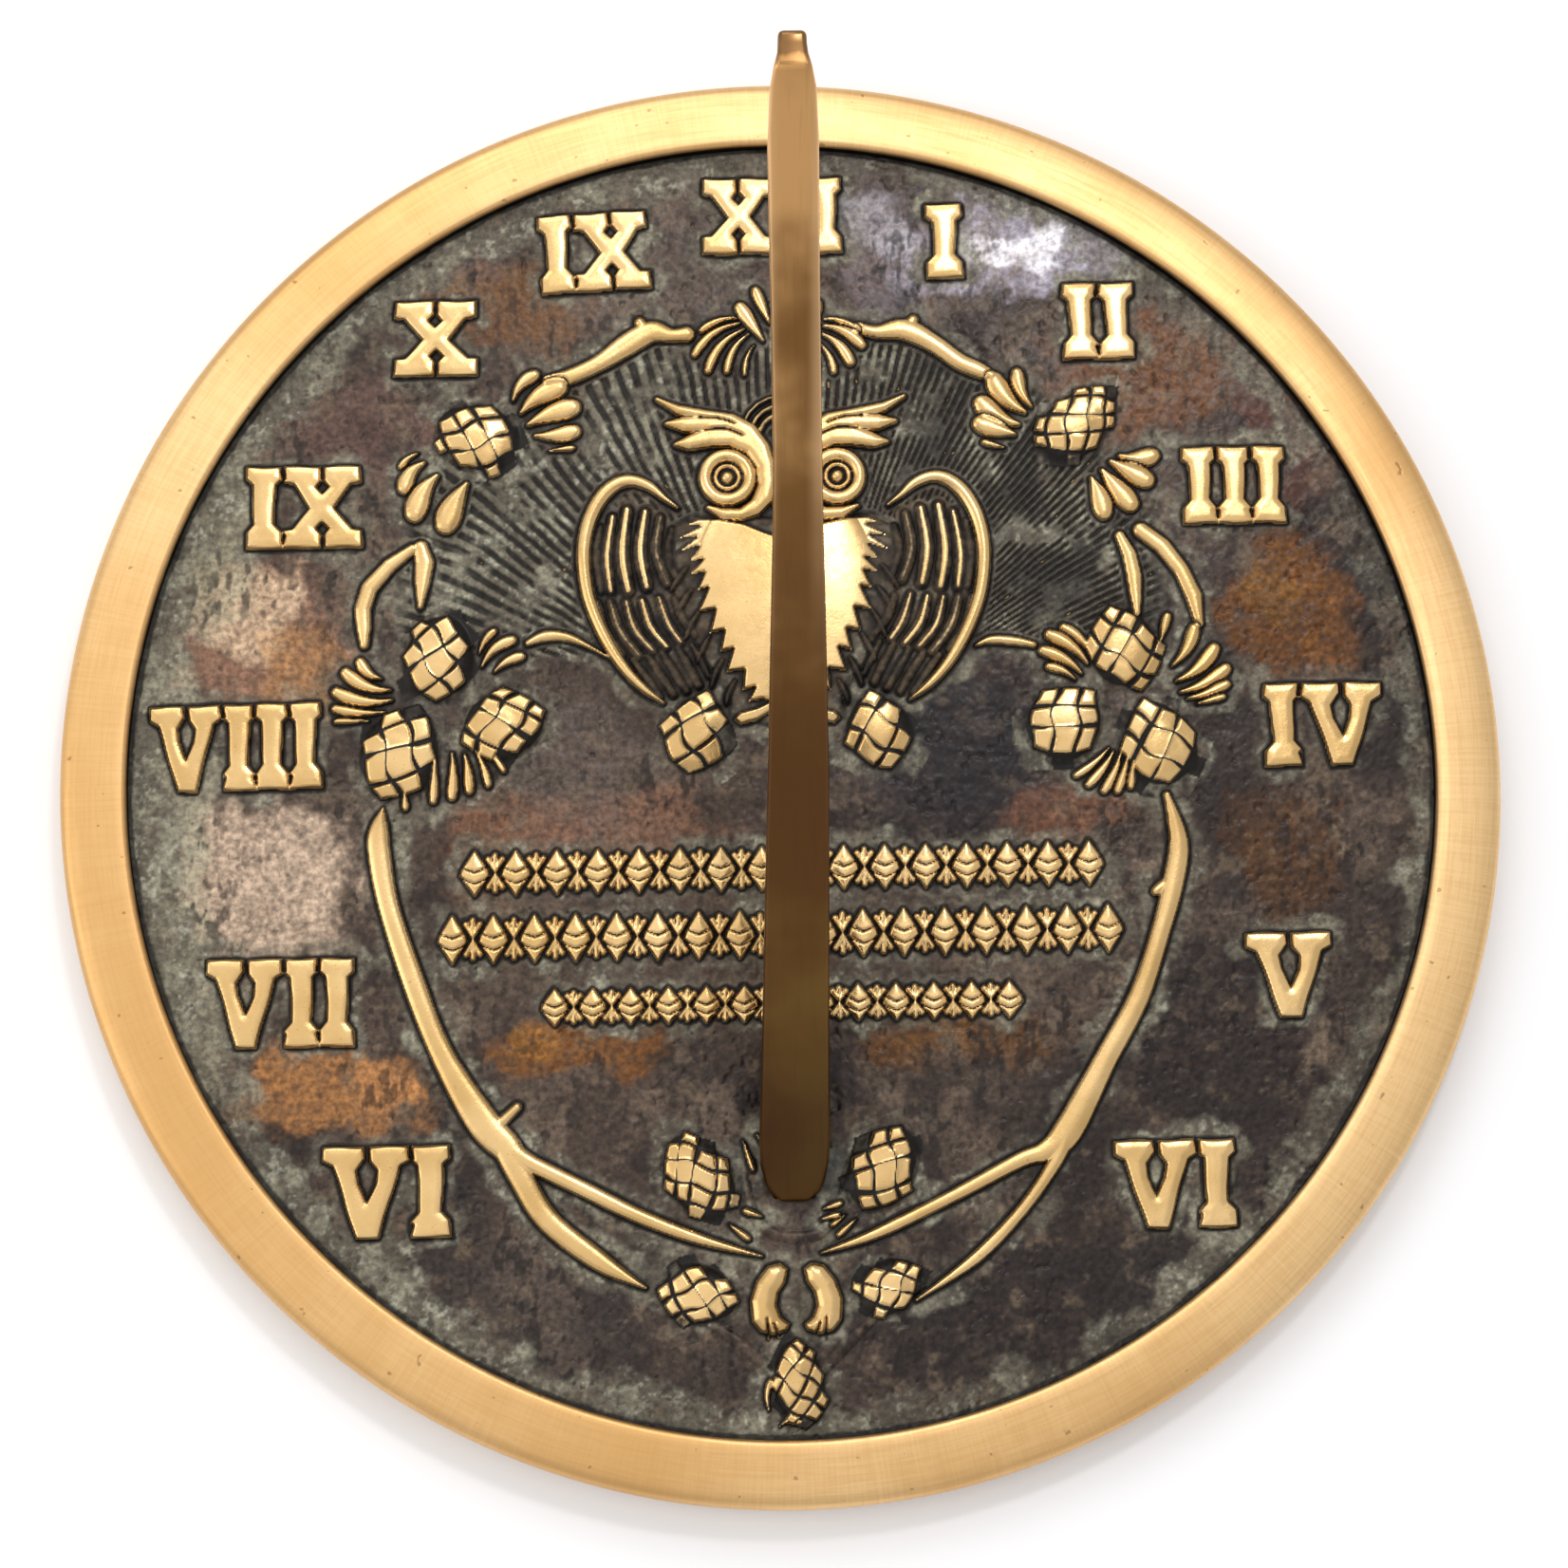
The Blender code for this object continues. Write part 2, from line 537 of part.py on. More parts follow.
def side_matrix():
    """Turns an outline drawn as (y, z) to stand in the plane x = 0."""
    return Matrix(((0, 0, 1, 0), (1, 0, 0, 0), (0, 1, 0, 0), (0, 0, 0, 1)))


def build_gnomon(parts, cutters, material):
    height = GNOMON_BASE + STYLE_RUN * math.tan(LATITUDE) + 10 * MM
    middle = Matrix.Translation((0, 0, height / 2))
    breadth = 3 * STYLE_WIDTH_FOOT
    gnomon = prisms("gnomon", [bar_side()], breadth, side_matrix(), parts)
    gnomon.data.materials.append(material)
    bar_plan = plan_outline(STYLE_WIDTH_FOOT, STYLE_WIDTH_TIP, NOSE_WIDTH)
    boolean(gnomon, prisms("bar_plan", [bar_plan], height, middle, cutters), "INTERSECT")
    fin = prisms("fin_side", [fin_side()], breadth, side_matrix(), cutters)
    fin_plan = plan_outline(WEB_WIDTH_FOOT, WEB_WIDTH_TIP, WEB_WIDTH_TIP)
    boolean(fin, prisms("fin_plan", [fin_plan], height, middle, cutters), "INTERSECT")
    boolean(gnomon, fin, "UNION")
    grips = {"front": FRONT_SCREW_GRIP, "rear": REAR_SCREW_GRIP}
    for end, y in screw_places().items():
        top = GNOMON_BASE + grips[end] + FIT_GAP
        hole = cylinder(f"gnomon_hole_{end}", SCREW_RADIUS + FIT_GAP, 0.0, top, (0.0, y), cutters, 16)
        boolean(gnomon, hole, "DIFFERENCE")
    return gnomon


def build_flat_washer(end, y, parts, material):
    top = SPOT_FACE_Z - FIT_GAP
    bottom = top - FLAT_WASHER_THICKNESS
    inner = SCREW_RADIUS + FIT_GAP
    profile = [(inner, top), (FLAT_WASHER_RADIUS, top), (FLAT_WASHER_RADIUS, bottom), (inner, bottom)]
    washer = closed_ring(f"flat_washer_{end}", profile, ROUND_STEPS, parts)
    washer.location.y = y
    washer.data.materials.append(material)
    return bottom


def build_lock_washer(end, y, top, parts, cutters, material):
    bottom = top - LOCK_WASHER_THICKNESS
    inner = SCREW_RADIUS + FIT_GAP
    profile = [(inner, top), (LOCK_WASHER_RADIUS, top), (LOCK_WASHER_RADIUS, bottom), (inner, bottom)]
    washer = closed_ring(f"lock_washer_{end}", profile, ROUND_STEPS, parts)
    washer.location.y = y
    washer.data.materials.append(material)
    bm = bmesh.new()
    bmesh.ops.create_cube(bm, size=1.0)
    size = (LOCK_WASHER_RADIUS * 1.2, LOCK_WASHER_SPLIT, LOCK_WASHER_THICKNESS * 3)
    bmesh.ops.scale(bm, verts=bm.verts, vec=size)
    bmesh.ops.translate(bm, verts=bm.verts, vec=(LOCK_WASHER_RADIUS * 0.75, y, (top + bottom) / 2))
    boolean(washer, object_from_bmesh(f"washer_split_{end}", bm, cutters), "DIFFERENCE")
    return bottom


def build_screw(end, y, top, grip, parts, cutters, material):
    """A slotted pan-head screw, head down, with a plain shank."""
    head_bottom = top - SCREW_HEAD_HEIGHT
    shank_top = GNOMON_BASE + grip
    profile = [
        (0.0, shank_top), (SCREW_RADIUS - 0.5 * MM, shank_top), (SCREW_RADIUS, shank_top - 0.6 * MM),
        (SCREW_RADIUS, top), (SCREW_HEAD_RADIUS, top), (SCREW_HEAD_RADIUS, top - 0.45 * SCREW_HEAD_HEIGHT),
        (SCREW_HEAD_RADIUS * 0.86, head_bottom + 0.12 * SCREW_HEAD_HEIGHT),
        (SCREW_HEAD_RADIUS * 0.6, head_bottom), (0.0, head_bottom),
    ]
    screw = turned(f"gnomon_screw_{end}", profile, ROUND_STEPS, parts)
    screw.location.y = y
    screw.data.materials.append(material)
    bm = bmesh.new()
    bmesh.ops.create_cube(bm, size=1.0)
    bmesh.ops.scale(bm, verts=bm.verts, vec=(3 * SCREW_HEAD_RADIUS, SLOT_WIDTH, 2 * SLOT_DEPTH))
    bmesh.ops.translate(bm, verts=bm.verts, vec=(0.0, y, head_bottom))
    boolean(screw, object_from_bmesh(f"screw_slot_{end}", bm, cutters), "DIFFERENCE")


def main():
    clear_scene()
    parts = make_collection("garden_sundial")
    cutters = make_collection("cutters")
    cutters.hide_render = True
    patina = make_material("patinated brass", (0.30, 0.22, 0.12), 1.0, 0.45)
    dark = make_material("dark gnomon brass", (0.14, 0.08, 0.035), 1.0, 0.4)
    fixing = make_material("fixing brass", (0.62, 0.45, 0.20), 1.0, 0.35)
    build_dial_plate(parts, cutters, patina)
    build_gnomon(parts, cutters, dark)
    grips = {"front": FRONT_SCREW_GRIP, "rear": REAR_SCREW_GRIP}
    for end, y in screw_places().items():
        under_flat = build_flat_washer(end, y, parts, fixing) - FIT_GAP
        under_lock = build_lock_washer(end, y, under_flat, parts, cutters, fixing) - FIT_GAP
        build_screw(end, y, under_lock, grips[end], parts, cutters, fixing)


main()
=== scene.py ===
import math

import bmesh
import bpy
import numpy as np
from mathutils import Matrix, Vector


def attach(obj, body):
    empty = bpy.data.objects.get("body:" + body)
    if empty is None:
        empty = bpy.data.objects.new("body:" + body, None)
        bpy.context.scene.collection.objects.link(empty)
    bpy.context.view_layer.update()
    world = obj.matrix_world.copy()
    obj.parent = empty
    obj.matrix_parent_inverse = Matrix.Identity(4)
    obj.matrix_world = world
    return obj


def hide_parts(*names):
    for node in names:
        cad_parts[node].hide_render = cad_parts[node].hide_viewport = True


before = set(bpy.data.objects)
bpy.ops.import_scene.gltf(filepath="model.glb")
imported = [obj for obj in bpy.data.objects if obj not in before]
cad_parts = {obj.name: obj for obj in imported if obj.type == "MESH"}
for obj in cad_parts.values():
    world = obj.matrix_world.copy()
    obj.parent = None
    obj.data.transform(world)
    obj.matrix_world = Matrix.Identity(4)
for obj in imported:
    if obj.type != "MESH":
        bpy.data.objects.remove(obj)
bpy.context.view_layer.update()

mm = 0.001


# a shader socket that can be used in plain Python maths
class Value:
    def __init__(self, paint, socket):
        self.paint = paint
        self.socket = socket

    def math(self, operation, *others):
        return self.paint.node("Math", {"operation": operation}, 0, dict(enumerate((self, *others))))

    def __add__(self, other):
        return self.math("ADD", other)

    def __radd__(self, other):
        return self.math("ADD", other)

    def __sub__(self, other):
        return self.math("SUBTRACT", other)

    def __rsub__(self, other):
        return (self * -1.0).math("ADD", other)

    def __mul__(self, other):
        return self.math("MULTIPLY", other)

    def __rmul__(self, other):
        return self.math("MULTIPLY", other)

    def power(self, exponent):
        return self.math("POWER", exponent)

    def between(self, low, high):
        # 0 below low, 1 above high, smooth in the middle
        smooth = {"interpolation_type": "SMOOTHSTEP"}
        return self.paint.node("MapRange", smooth, "Result", Value=self, From_Min=low, From_Max=high)


# one material with its Principled shader
class Paint:
    def __init__(self, name, **constants):
        self.material = bpy.data.materials.new(name)
        self.material.use_nodes = True
        self.tree = self.material.node_tree
        self.shader = self.tree.nodes["Principled BSDF"]
        self.drive(**constants)

    def plug(self, value, target):
        if isinstance(value, Value):
            self.tree.links.new(value.socket, target)
        else:
            target.default_value = value

    def node(self, kind, settings=None, output=0, numbered=None, **named):
        # the settings come first, because they decide which sockets there are
        node = self.tree.nodes.new("ShaderNode" + kind)
        for key, value in (settings or {}).items():
            setattr(node, key, value)
        for key, value in (numbered or {}).items():
            self.plug(value, node.inputs[key])
        for key, value in named.items():
            self.plug(value, node.inputs[key.replace("_", " ")])
        return Value(self, node.outputs[output])

    def place(self):
        return self.node("TexCoord", output="Object")

    def stretched(self, sizes):
        return self.node("Mapping", Vector=self.place(), Scale=sizes)

    def noise(self, scale, detail=3.0, vector=None, rough=0.55):
        vector = vector or self.place()
        return self.node("TexNoise", Vector=vector, Scale=scale, Detail=detail, Roughness=rough)

    def axis(self, name):
        return self.node("SeparateXYZ", output=name, Vector=self.place())

    def blend(self, share, first, second, kind="MIX"):
        colours = [(*value, 1.0) if isinstance(value, tuple) else value for value in (first, second)]
        settings = {"data_type": "RGBA", "blend_type": kind}
        return self.node("Mix", settings, 2, {0: share, 6: colours[0], 7: colours[1]})

    def attribute(self, name, output="Fac"):
        return self.node("Attribute", {"attribute_name": name}, output)

    def bump(self, height, strength):
        return self.node("Bump", Height=height, Strength=strength, Distance=0.0001)

    def drive(self, **sockets):
        for key, value in sockets.items():
            self.plug(value, self.shader.inputs[key.replace("_", " ")])
        return self.material


def lin(red, green, blue):
    # screen colour to the linear one that the shader takes
    shares = (red / 255, green / 255, blue / 255)
    return tuple(share / 12.92 if share < 0.0405 else ((share + 0.055) / 1.055) ** 2.4 for share in shares)


# relief of the field, worked out in mm on one square raster
plate = {"fieldRadius": 115.0, "fieldTop": 7.8, "skinBottom": 6.9, "skinOverlap": 0.7}
skin = {"pitch": 0.27, "half": 116.64, "tiles": 4}
farOff = -1e3  # a distance that counts as outside everything

cells = round(2 * skin["half"] / skin["pitch"])
ticks = (np.arange(cells + 1) - cells / 2) * skin["pitch"]
gridX, gridY = np.meshgrid(ticks, ticks)
height = np.zeros_like(gridX)
polish = np.zeros_like(gridX)
near = np.full_like(gridX, -12.0)  # mm inside the nearest outline, negative outside
feathered = np.zeros_like(gridX)  # where the owl's wings and body are


def ease(value):
    share = np.clip(value, 0.0, 1.0)
    return share * share * (3 - 2 * share)


def windowOf(xLow, xHigh, yLow, yHigh):
    def index(value):
        return int(np.clip(math.floor(value / skin["pitch"] + cells / 2), 0, cells))

    return slice(index(yLow), index(yHigh) + 2), slice(index(xLow), index(xHigh) + 2)


def around(points, margin=6.0):
    flat = np.array([p[:2] for p in points], float)
    low, high = flat.min(axis=0) - margin, flat.max(axis=0) + margin
    return windowOf(low[0], high[0], low[1], high[1])


def softNoise(size, seed, px=None, py=None):
    # smooth random field between -1 and 1, features about this many mm across
    steps = int(2 * skin["half"] / size) + 12
    lattice = np.random.default_rng(seed).uniform(-1, 1, (steps, steps))
    px, py = (gridX, gridY) if px is None else (px, py)
    columns = np.clip((px + skin["half"]) / size + 4, 0, steps - 2)
    rows = np.clip((py + skin["half"]) / size + 4, 0, steps - 2)
    i, j = columns.astype(int), rows.astype(int)
    shareX, shareY = ease(columns - i), ease(rows - j)
    low = lattice[j, i] * (1 - shareX) + lattice[j, i + 1] * shareX
    high = lattice[j + 1, i] * (1 - shareX) + lattice[j + 1, i + 1] * shareX
    return low * (1 - shareY) + high * shareY


def cloud(size, seed, octaves=4, rough=0.6, px=None, py=None):
    # several sizes of noise on top of each other, about -1 to 1
    total = sum(softNoise(size / 2**i, seed + 7 * i, px, py) * rough**i for i in range(octaves))
    return total / sum(0.6 * rough**i for i in range(octaves))


def blurred(values, radius):
    reach = max(1, round(radius / skin["pitch"]))
    result = values
    for axis in (0, 1, 0, 1):
        padded = np.pad(result, [(reach + 1, reach) if a == axis else (0, 0) for a in (0, 1)], mode="edge")
        total = np.cumsum(padded, axis=axis)
        size = result.shape[axis]
        ahead = np.take(total, np.arange(2 * reach + 1, size + 2 * reach + 1), axis=axis)
        behind = np.take(total, np.arange(0, size), axis=axis)
        result = (ahead - behind) / (2 * reach + 1)
    return result


def insideOf(outline, px, py):
    # signed distance to a closed outline, positive inside
    points = np.array(outline, float)
    nearest = np.full(px.shape, 1e9)
    inside = np.zeros(px.shape, bool)
    for (ax, ay), (bx, by) in zip(points, np.roll(points, -1, axis=0)):
        ex, ey = bx - ax, by - ay
        wx, wy = px - ax, py - ay
        share = np.clip((wx * ex + wy * ey) / max(ex * ex + ey * ey, 1e-9), 0, 1)
        nearest = np.minimum(nearest, (wx - ex * share) ** 2 + (wy - ey * share) ** 2)
        crosses = (ay <= py) != (by <= py)
        inside ^= crosses & (wx < wy * ex / (ey if ey else 1e-9))
    return np.where(inside, 1, -1) * np.sqrt(nearest)


def strokeOf(points, px, py):
    # distance inside a stroke of changing width, and the half width there
    inside = np.full(px.shape, farOff)
    half = np.ones(px.shape)
    for (ax, ay, wide), (bx, by, wideEnd) in zip(points[:-1], points[1:]):
        ex, ey = bx - ax, by - ay
        share = np.clip(((px - ax) * ex + (py - ay) * ey) / max(ex * ex + ey * ey, 1e-9), 0, 1)
        radius = (wide + (wideEnd - wide) * share) / 2
        here = radius - np.hypot(px - ax - ex * share, py - ay - ey * share)
        half = np.where(here > inside, radius, half)
        inside = np.maximum(inside, here)
    return inside, np.maximum(half, 0.05)


def curveThrough(points, steps=5):
    knots = np.array(points, float)
    last = len(knots) - 1
    result = []
    for i in range(last):
        before, start, end, after = knots[max(i - 1, 0)], knots[i], knots[i + 1], knots[min(i + 2, last)]
        for t in np.arange(steps) / steps:
            result.append(
                0.5 * (2 * start + (end - before) * t + (2 * before - 5 * start + 4 * end - after) * t**2
                       + (3 * start - before - 3 * end + after) * t**3)
            )
    return [*map(tuple, result), tuple(knots[-1])]


def softMax(first, second, soft):
    # the larger of the two, with a rounded corner where they meet
    share = np.clip(0.5 + 0.5 * (first - second) / soft, 0, 1)
    return second + (first - second) * share + soft * share * (1 - share)


def lay(where, inside, shape, shine=1.0, edge=0.35):
    # the higher of the two wins, and takes its polish along
    higher = shape > height[where]
    polish[where] = np.where(higher, shine * ease((inside + 0.05) / edge), polish[where])
    height[where] = np.maximum(height[where], shape)
    near[where] = np.maximum(near[where], inside)


def flatTop(inside, rise, wall=0.6, crown=0.12):
    return rise * ease((inside + 0.2) / wall) - crown * ease(1 - inside / 1.6)


def domed(inside, half, rise, power=0.5):
    share = np.clip(inside / half, 0, 1)
    return rise * (1 - (1 - share) ** 2) ** power


def drawStroke(points, rise, shine=1.0, power=0.5, smooth=5, crest=0.0):
    # crest keeps the polish to the middle of the stroke
    path = curveThrough(points, smooth) if len(points) > 2 else points
    where = around(points)
    inside, half = strokeOf(path, gridX[where], gridY[where])
    if crest:
        shine = shine * ease((inside / half - crest) / 0.3)
    lay(where, inside, domed(inside, half, rise, power), shine)


def carve(points, depth, smooth=4, dull=1.0):
    # a groove that also takes the polish off
    path = curveThrough(points, smooth) if len(points) > 2 else points
    where = around(points, 1.5)
    inside, half = strokeOf(path, gridX[where], gridY[where])
    cut = ease((inside + 0.18) / (half + 0.25))
    height[where] = height[where] - depth * cut
    polish[where] = polish[where] * (1 - dull * cut)


def drawShape(outline, half, rise, power=0.5, grow=0.0, edge=0.35):
    # a domed shape inside an outline, which grow makes larger all round
    where = around(outline)
    inside = insideOf(outline, gridX[where], gridY[where]) + grow
    lay(where, inside, domed(inside, half, rise, power), 1.0, edge)


def raiseBed(where, inside, shape, nearest, marks):
    # rough metal under the owl's feathers; nearest caps the dark outline (painted shade and patina) and
    # verdigris that it takes
    height[where] = np.maximum(height[where], shape)
    near[where] = np.maximum(near[where], np.minimum(inside, nearest))
    feathered[where] = np.maximum(feathered[where], marks * ease(inside / 0.8))


def mirrored(points, axis=0.0, turn=True):
    return [(2 * axis - p[0], *p[1:]) for p in points] if turn else points


def closedHalf(half, axis):
    # a left half and its mirror image as one outline
    return half + mirrored(half, axis)[::-1][1:-1]


# hour numerals: text, centre, turn in degrees, height, width
numerals = {
    "rise": 1.5, "wall": 0.55, "crown": 0.2, "spread": 0.12, "joinSoft": 0.3, "waver": 0.10,
    "pitch": {"I": 6.5, "V": 14.0, "X": 14.0},
    "places": [
        ("XII", 0.1, 102.4, 0, 14.0, 25.2), ("I", 31.0, 97.3, 0, 13.8, 6.8),
        ("II", 58.3, 82.1, 0, 14.0, 13.0), ("III", 81.6, 51.6, 0, 14.0, 18.6),
        ("IV", 95.7, 8.0, 0, 14.8, 21.0), ("V", 88.0, -36.4, 0, 14.8, 15.0),
        ("VI", 66.6, -72.5, 0, 15.2, 21.0), ("VI", -70.0, -71.3, 0, 15.8, 22.0),
        ("VII", -88.2, -38.2, 0, 15.4, 25.6), ("VIII", -96.0, 7.0, 1, 15.2, 30.0),
        ("IX", -84.1, 50.0, 0, 14.8, 20.6), ("X", -60.5, 80.5, 0, 13.8, 15.0),
        ("IX", -32.0, 96.1, 3, 14.4, 19.8),
    ],
}


def bothSides(half):
    # the right half of a letter, closed by its mirror image
    return half + [(-x, y) for x, y in half[::-1]]


def letterI(px, py, top):
    beam = bothSides([
        (0.0, top), (3.1, top), (3.2, top - 2.3), (2.1, top - 3.2), (1.8, 4.4), (3.1, 2.9), (3.2, 0.0),
        (0.0, 0.0),
    ])
    return insideOf(beam, px, py), np.full(px.shape, farOff)


def letterV(px, py, top):
    wedge = bothSides([(0.0, top), (7.0, top), (7.1, top - 2.4), (5.4, top - 3.4), (1.8, 0.0), (0.0, 0.0)])
    drop = bothSides([(0.0, top - 1.6), (1.7, top - 4.0), (1.4, top - 6.4), (0.0, top - 9.6)])
    slot = strokeOf([(0.0, top + 0.6, 1.0), (0.2, top - 2.6, 0.9)], px, py)[0]
    return insideOf(wedge, px, py), np.maximum(insideOf(drop, px, py), slot)


def letterX(px, py, top):
    waist = top / 2 - 0.2
    glass = bothSides([
        (0.0, top), (6.7, top), (6.8, top - 3.0), (5.0, top - 3.3), (2.2, waist), (5.2, 3.4),
        (6.9, 3.2), (7.0, 0.0),
        (0.0, 0.0),
    ])
    cuts = np.full(px.shape, farOff)
    for middle, edge in ((3.6, -0.6), (top - 3.7, top + 0.6)):
        toEdge = -1 if edge < middle else 1
        notch = bothSides([(0.0, middle + 1.4 * toEdge), (1.15, middle), (0.0, middle - 1.2 * toEdge)])
        cuts = np.maximum(cuts, insideOf(notch, px, py))
        cuts = np.maximum(cuts, strokeOf([(0.0, middle, 0.5), (0.0, edge, 0.65)], px, py)[0])
    return insideOf(glass, px, py), cuts


def drawNumerals():
    draw = {"I": letterI, "V": letterV, "X": letterX}
    for text, centreX, centreY, degrees, tall, wide in numerals["places"]:
        where = windowOf(centreX - wide / 2 - 7, centreX + wide / 2 + 7, centreY - 15, centreY + 15)
        turn = math.radians(degrees)
        dx, dy = gridX[where] - centreX, gridY[where] - centreY
        nominal = sum(numerals["pitch"][letter] for letter in text)
        px = (dx * math.cos(turn) + dy * math.sin(turn)) * nominal / wide
        py = dy * math.cos(turn) - dx * math.sin(turn) + tall / 2
        # hand-cut letters waver a little
        px = px + numerals["waver"] * np.sin(py * 0.6 + centreX)
        py = py + numerals["waver"] * np.sin(px * 0.7 + centreY)
        inside = np.full(px.shape, farOff)
        cuts = np.full(px.shape, farOff)
        pen = -nominal / 2
        for i, letter in enumerate(text):
            shape, holes = draw[letter](px - pen - numerals["pitch"][letter] / 2, py, tall)
            inside = softMax(inside, shape, numerals["joinSoft"])
            cuts = np.maximum(cuts, holes)
            if i:
                # neighbours keep a slit above and a nick below
                lean = 0.3 * math.sin(3 * i + centreX)
                slit = [(pen, tall + 0.5, 0.75), (pen + lean, tall - 2.2, 0.7)]
                nick = [(pen + lean, 2.2, 0.6), (pen, 0.9, 0.3)]
                for stroke in (slit, nick):
                    cuts = np.maximum(cuts, strokeOf(stroke, px, py)[0])
            pen += numerals["pitch"][letter]
        inside = np.minimum(inside, -cuts) * min(1.0, wide / nominal + 0.05) + numerals["spread"]
        lay(where, inside, flatTop(inside, numerals["rise"], numerals["wall"], numerals["crown"]), 1.0, 0.25)


# pine wreath: every line as (x, y, width), and nubs as start, end, width
wreath = {
    "rise": 1.7, "stickRise": 1.4, "twigRise": 1.2, "ridgeRise": 0.55, "nubRise": 1.4,
    "branches": [
        [(-15.6, 80.7, 3.0), (-18.4, 80.5, 2.7), (-22.0, 81.2, 4.2), (-26.5, 78.8, 4.3), (-31.5, 75.5, 3.3),
         (-36.6, 73.2, 3.1), (-40.6, 72.4, 2.2)],
        [(15.0, 81.4, 2.4), (18.5, 80.6, 2.6), (23.5, 81.0, 4.2), (28.5, 78.4, 3.6), (33.0, 75.0, 3.4),
         (36.4, 73.4, 3.2), (38.8, 72.2, 2.2)],
    ],
    "sticks": [
        [(-64.8, 42.2, 2.0), (-69.0, 39.2, 2.8), (-72.6, 35.2, 3.1), (-73.8, 31.4, 3.1), (-73.6, 28.0, 2.8),
         (-73.5, 25.0, 1.8)],
        [(-63.4, 42.4, 2.8), (-62.8, 39.6, 3.6), (-63.2, 36.0, 2.9), (-63.6, 31.8, 1.2)],
        [(64.6, 43.6, 3.0), (68.4, 40.6, 3.2), (71.6, 36.2, 3.0), (73.6, 31.6, 3.2), (74.4, 26.6, 1.9)],
        [(60.8, 42.6, 2.0), (62.4, 39.2, 2.8), (63.1, 35.4, 3.0), (63.3, 31.6, 2.4), (63.4, 28.6, 1.4)],
    ],
    "twigs": [
        [(-44.6, 24.9, 1.3), (-41.5, 26.1, 2.2), (-37.6, 25.8, 1.8), (-33.8, 24.0, 0.9),
         (-30.2, 21.9, 0.5)],
        [(34.6, 23.2, 0.6), (37.4, 24.2, 1.7), (41.6, 23.9, 1.9), (44.8, 23.2, 1.4)],
    ],
    "stems": [
        [(-70.3, -4.2, 0.5), (-71.1, -8.0, 3.5), (-71.1, -12.0, 4.2), (-69.5, -21.5, 3.9),
         (-65.4, -34.5, 4.2), (-60.6, -47.1, 4.2), (-54.0, -58.7, 5.8), (-49.7, -63.5, 5.4),
         (-46.2, -66.2, 3.3), (-36.3, -71.3, 3.0), (-25.8, -76.6, 2.7), (-15.6, -80.6, 2.1),
         (-5.4, -83.6, 0.4)],
        [(-49.8, -63.6, 4.4), (-46.8, -69.4, 4.4), (-42.3, -76.7, 4.2), (-33.3, -84.0, 3.6),
         (-25.6, -88.6, 0.6)],
        [(67.5, -4.2, 1.4), (69.3, -12.4, 3.6), (68.0, -20.1, 4.0), (65.5, -28.5, 3.6), (61.3, -39.9, 3.9),
         (54.8, -51.2, 4.3), (48.1, -63.0, 5.3), (44.0, -66.4, 3.6), (39.6, -67.9, 2.9), (27.9, -73.8, 2.4),
         (14.5, -80.0, 2.1), (4.8, -83.2, 0.4)],
        [(47.8, -63.4, 3.6), (45.8, -68.2, 2.7), (39.8, -76.4, 2.3), (31.6, -84.5, 2.3),
         (21.0, -91.6, 0.5)],
    ],
    # low unpolished stalks that only show as shape
    "ridges": [
        [(-8.2, -69.6, 1.2), (-6.6, -76.8, 1.8), (-3.4, -79.6, 2.0), (0.6, -80.4, 2.0), (4.8, -79.6, 2.0),
         (7.8, -75.4, 1.8), (9.6, -70.6, 1.2)],
        [(-15.0, -94.5, 1.4), (-8.4, -99.2, 2.4), (-4.0, -103.6, 1.6)],
        [(14.6, -93.6, 1.4), (8.6, -99.0, 2.4), (4.4, -103.6, 1.6)],
        [(-66.6, -1.6, 2.0), (-69.6, -5.0, 2.8), (-71.0, -8.6, 3.6)],
    ],
    "nubs": [
        (-24.0, 83.0, -22.6, 80.6, 2.2), (25.0, 82.8, 23.8, 80.6, 2.2), (65.0, -21.2, 67.6, -19.4, 2.0),
        (-47.4, -57.0, -50.6, -60.0, 1.8),
    ],
}


def drawWreath():
    for path in wreath["branches"]:
        drawStroke(path, wreath["rise"], 1.0, 0.3)
    for path in wreath["sticks"]:
        drawStroke(path, wreath["stickRise"], 0.95, 0.3, 1)
    for path in wreath["twigs"]:
        drawStroke(path, wreath["twigRise"], 0.85, 0.45)
    for path in wreath["ridges"]:
        where = around(path)
        inside, half = strokeOf(curveThrough(path), gridX[where], gridY[where])
        height[where] = np.maximum(height[where], domed(inside, half, wreath["ridgeRise"], 0.8))
    for x, y, endX, endY, wide in wreath["nubs"]:
        drawStroke([(x, y, wide), (endX, endY, wide * 1.3)], wreath["nubRise"], 0.9)
    for path in wreath["stems"]:
        drawStroke(path, wreath["rise"], 1.0, 0.26)


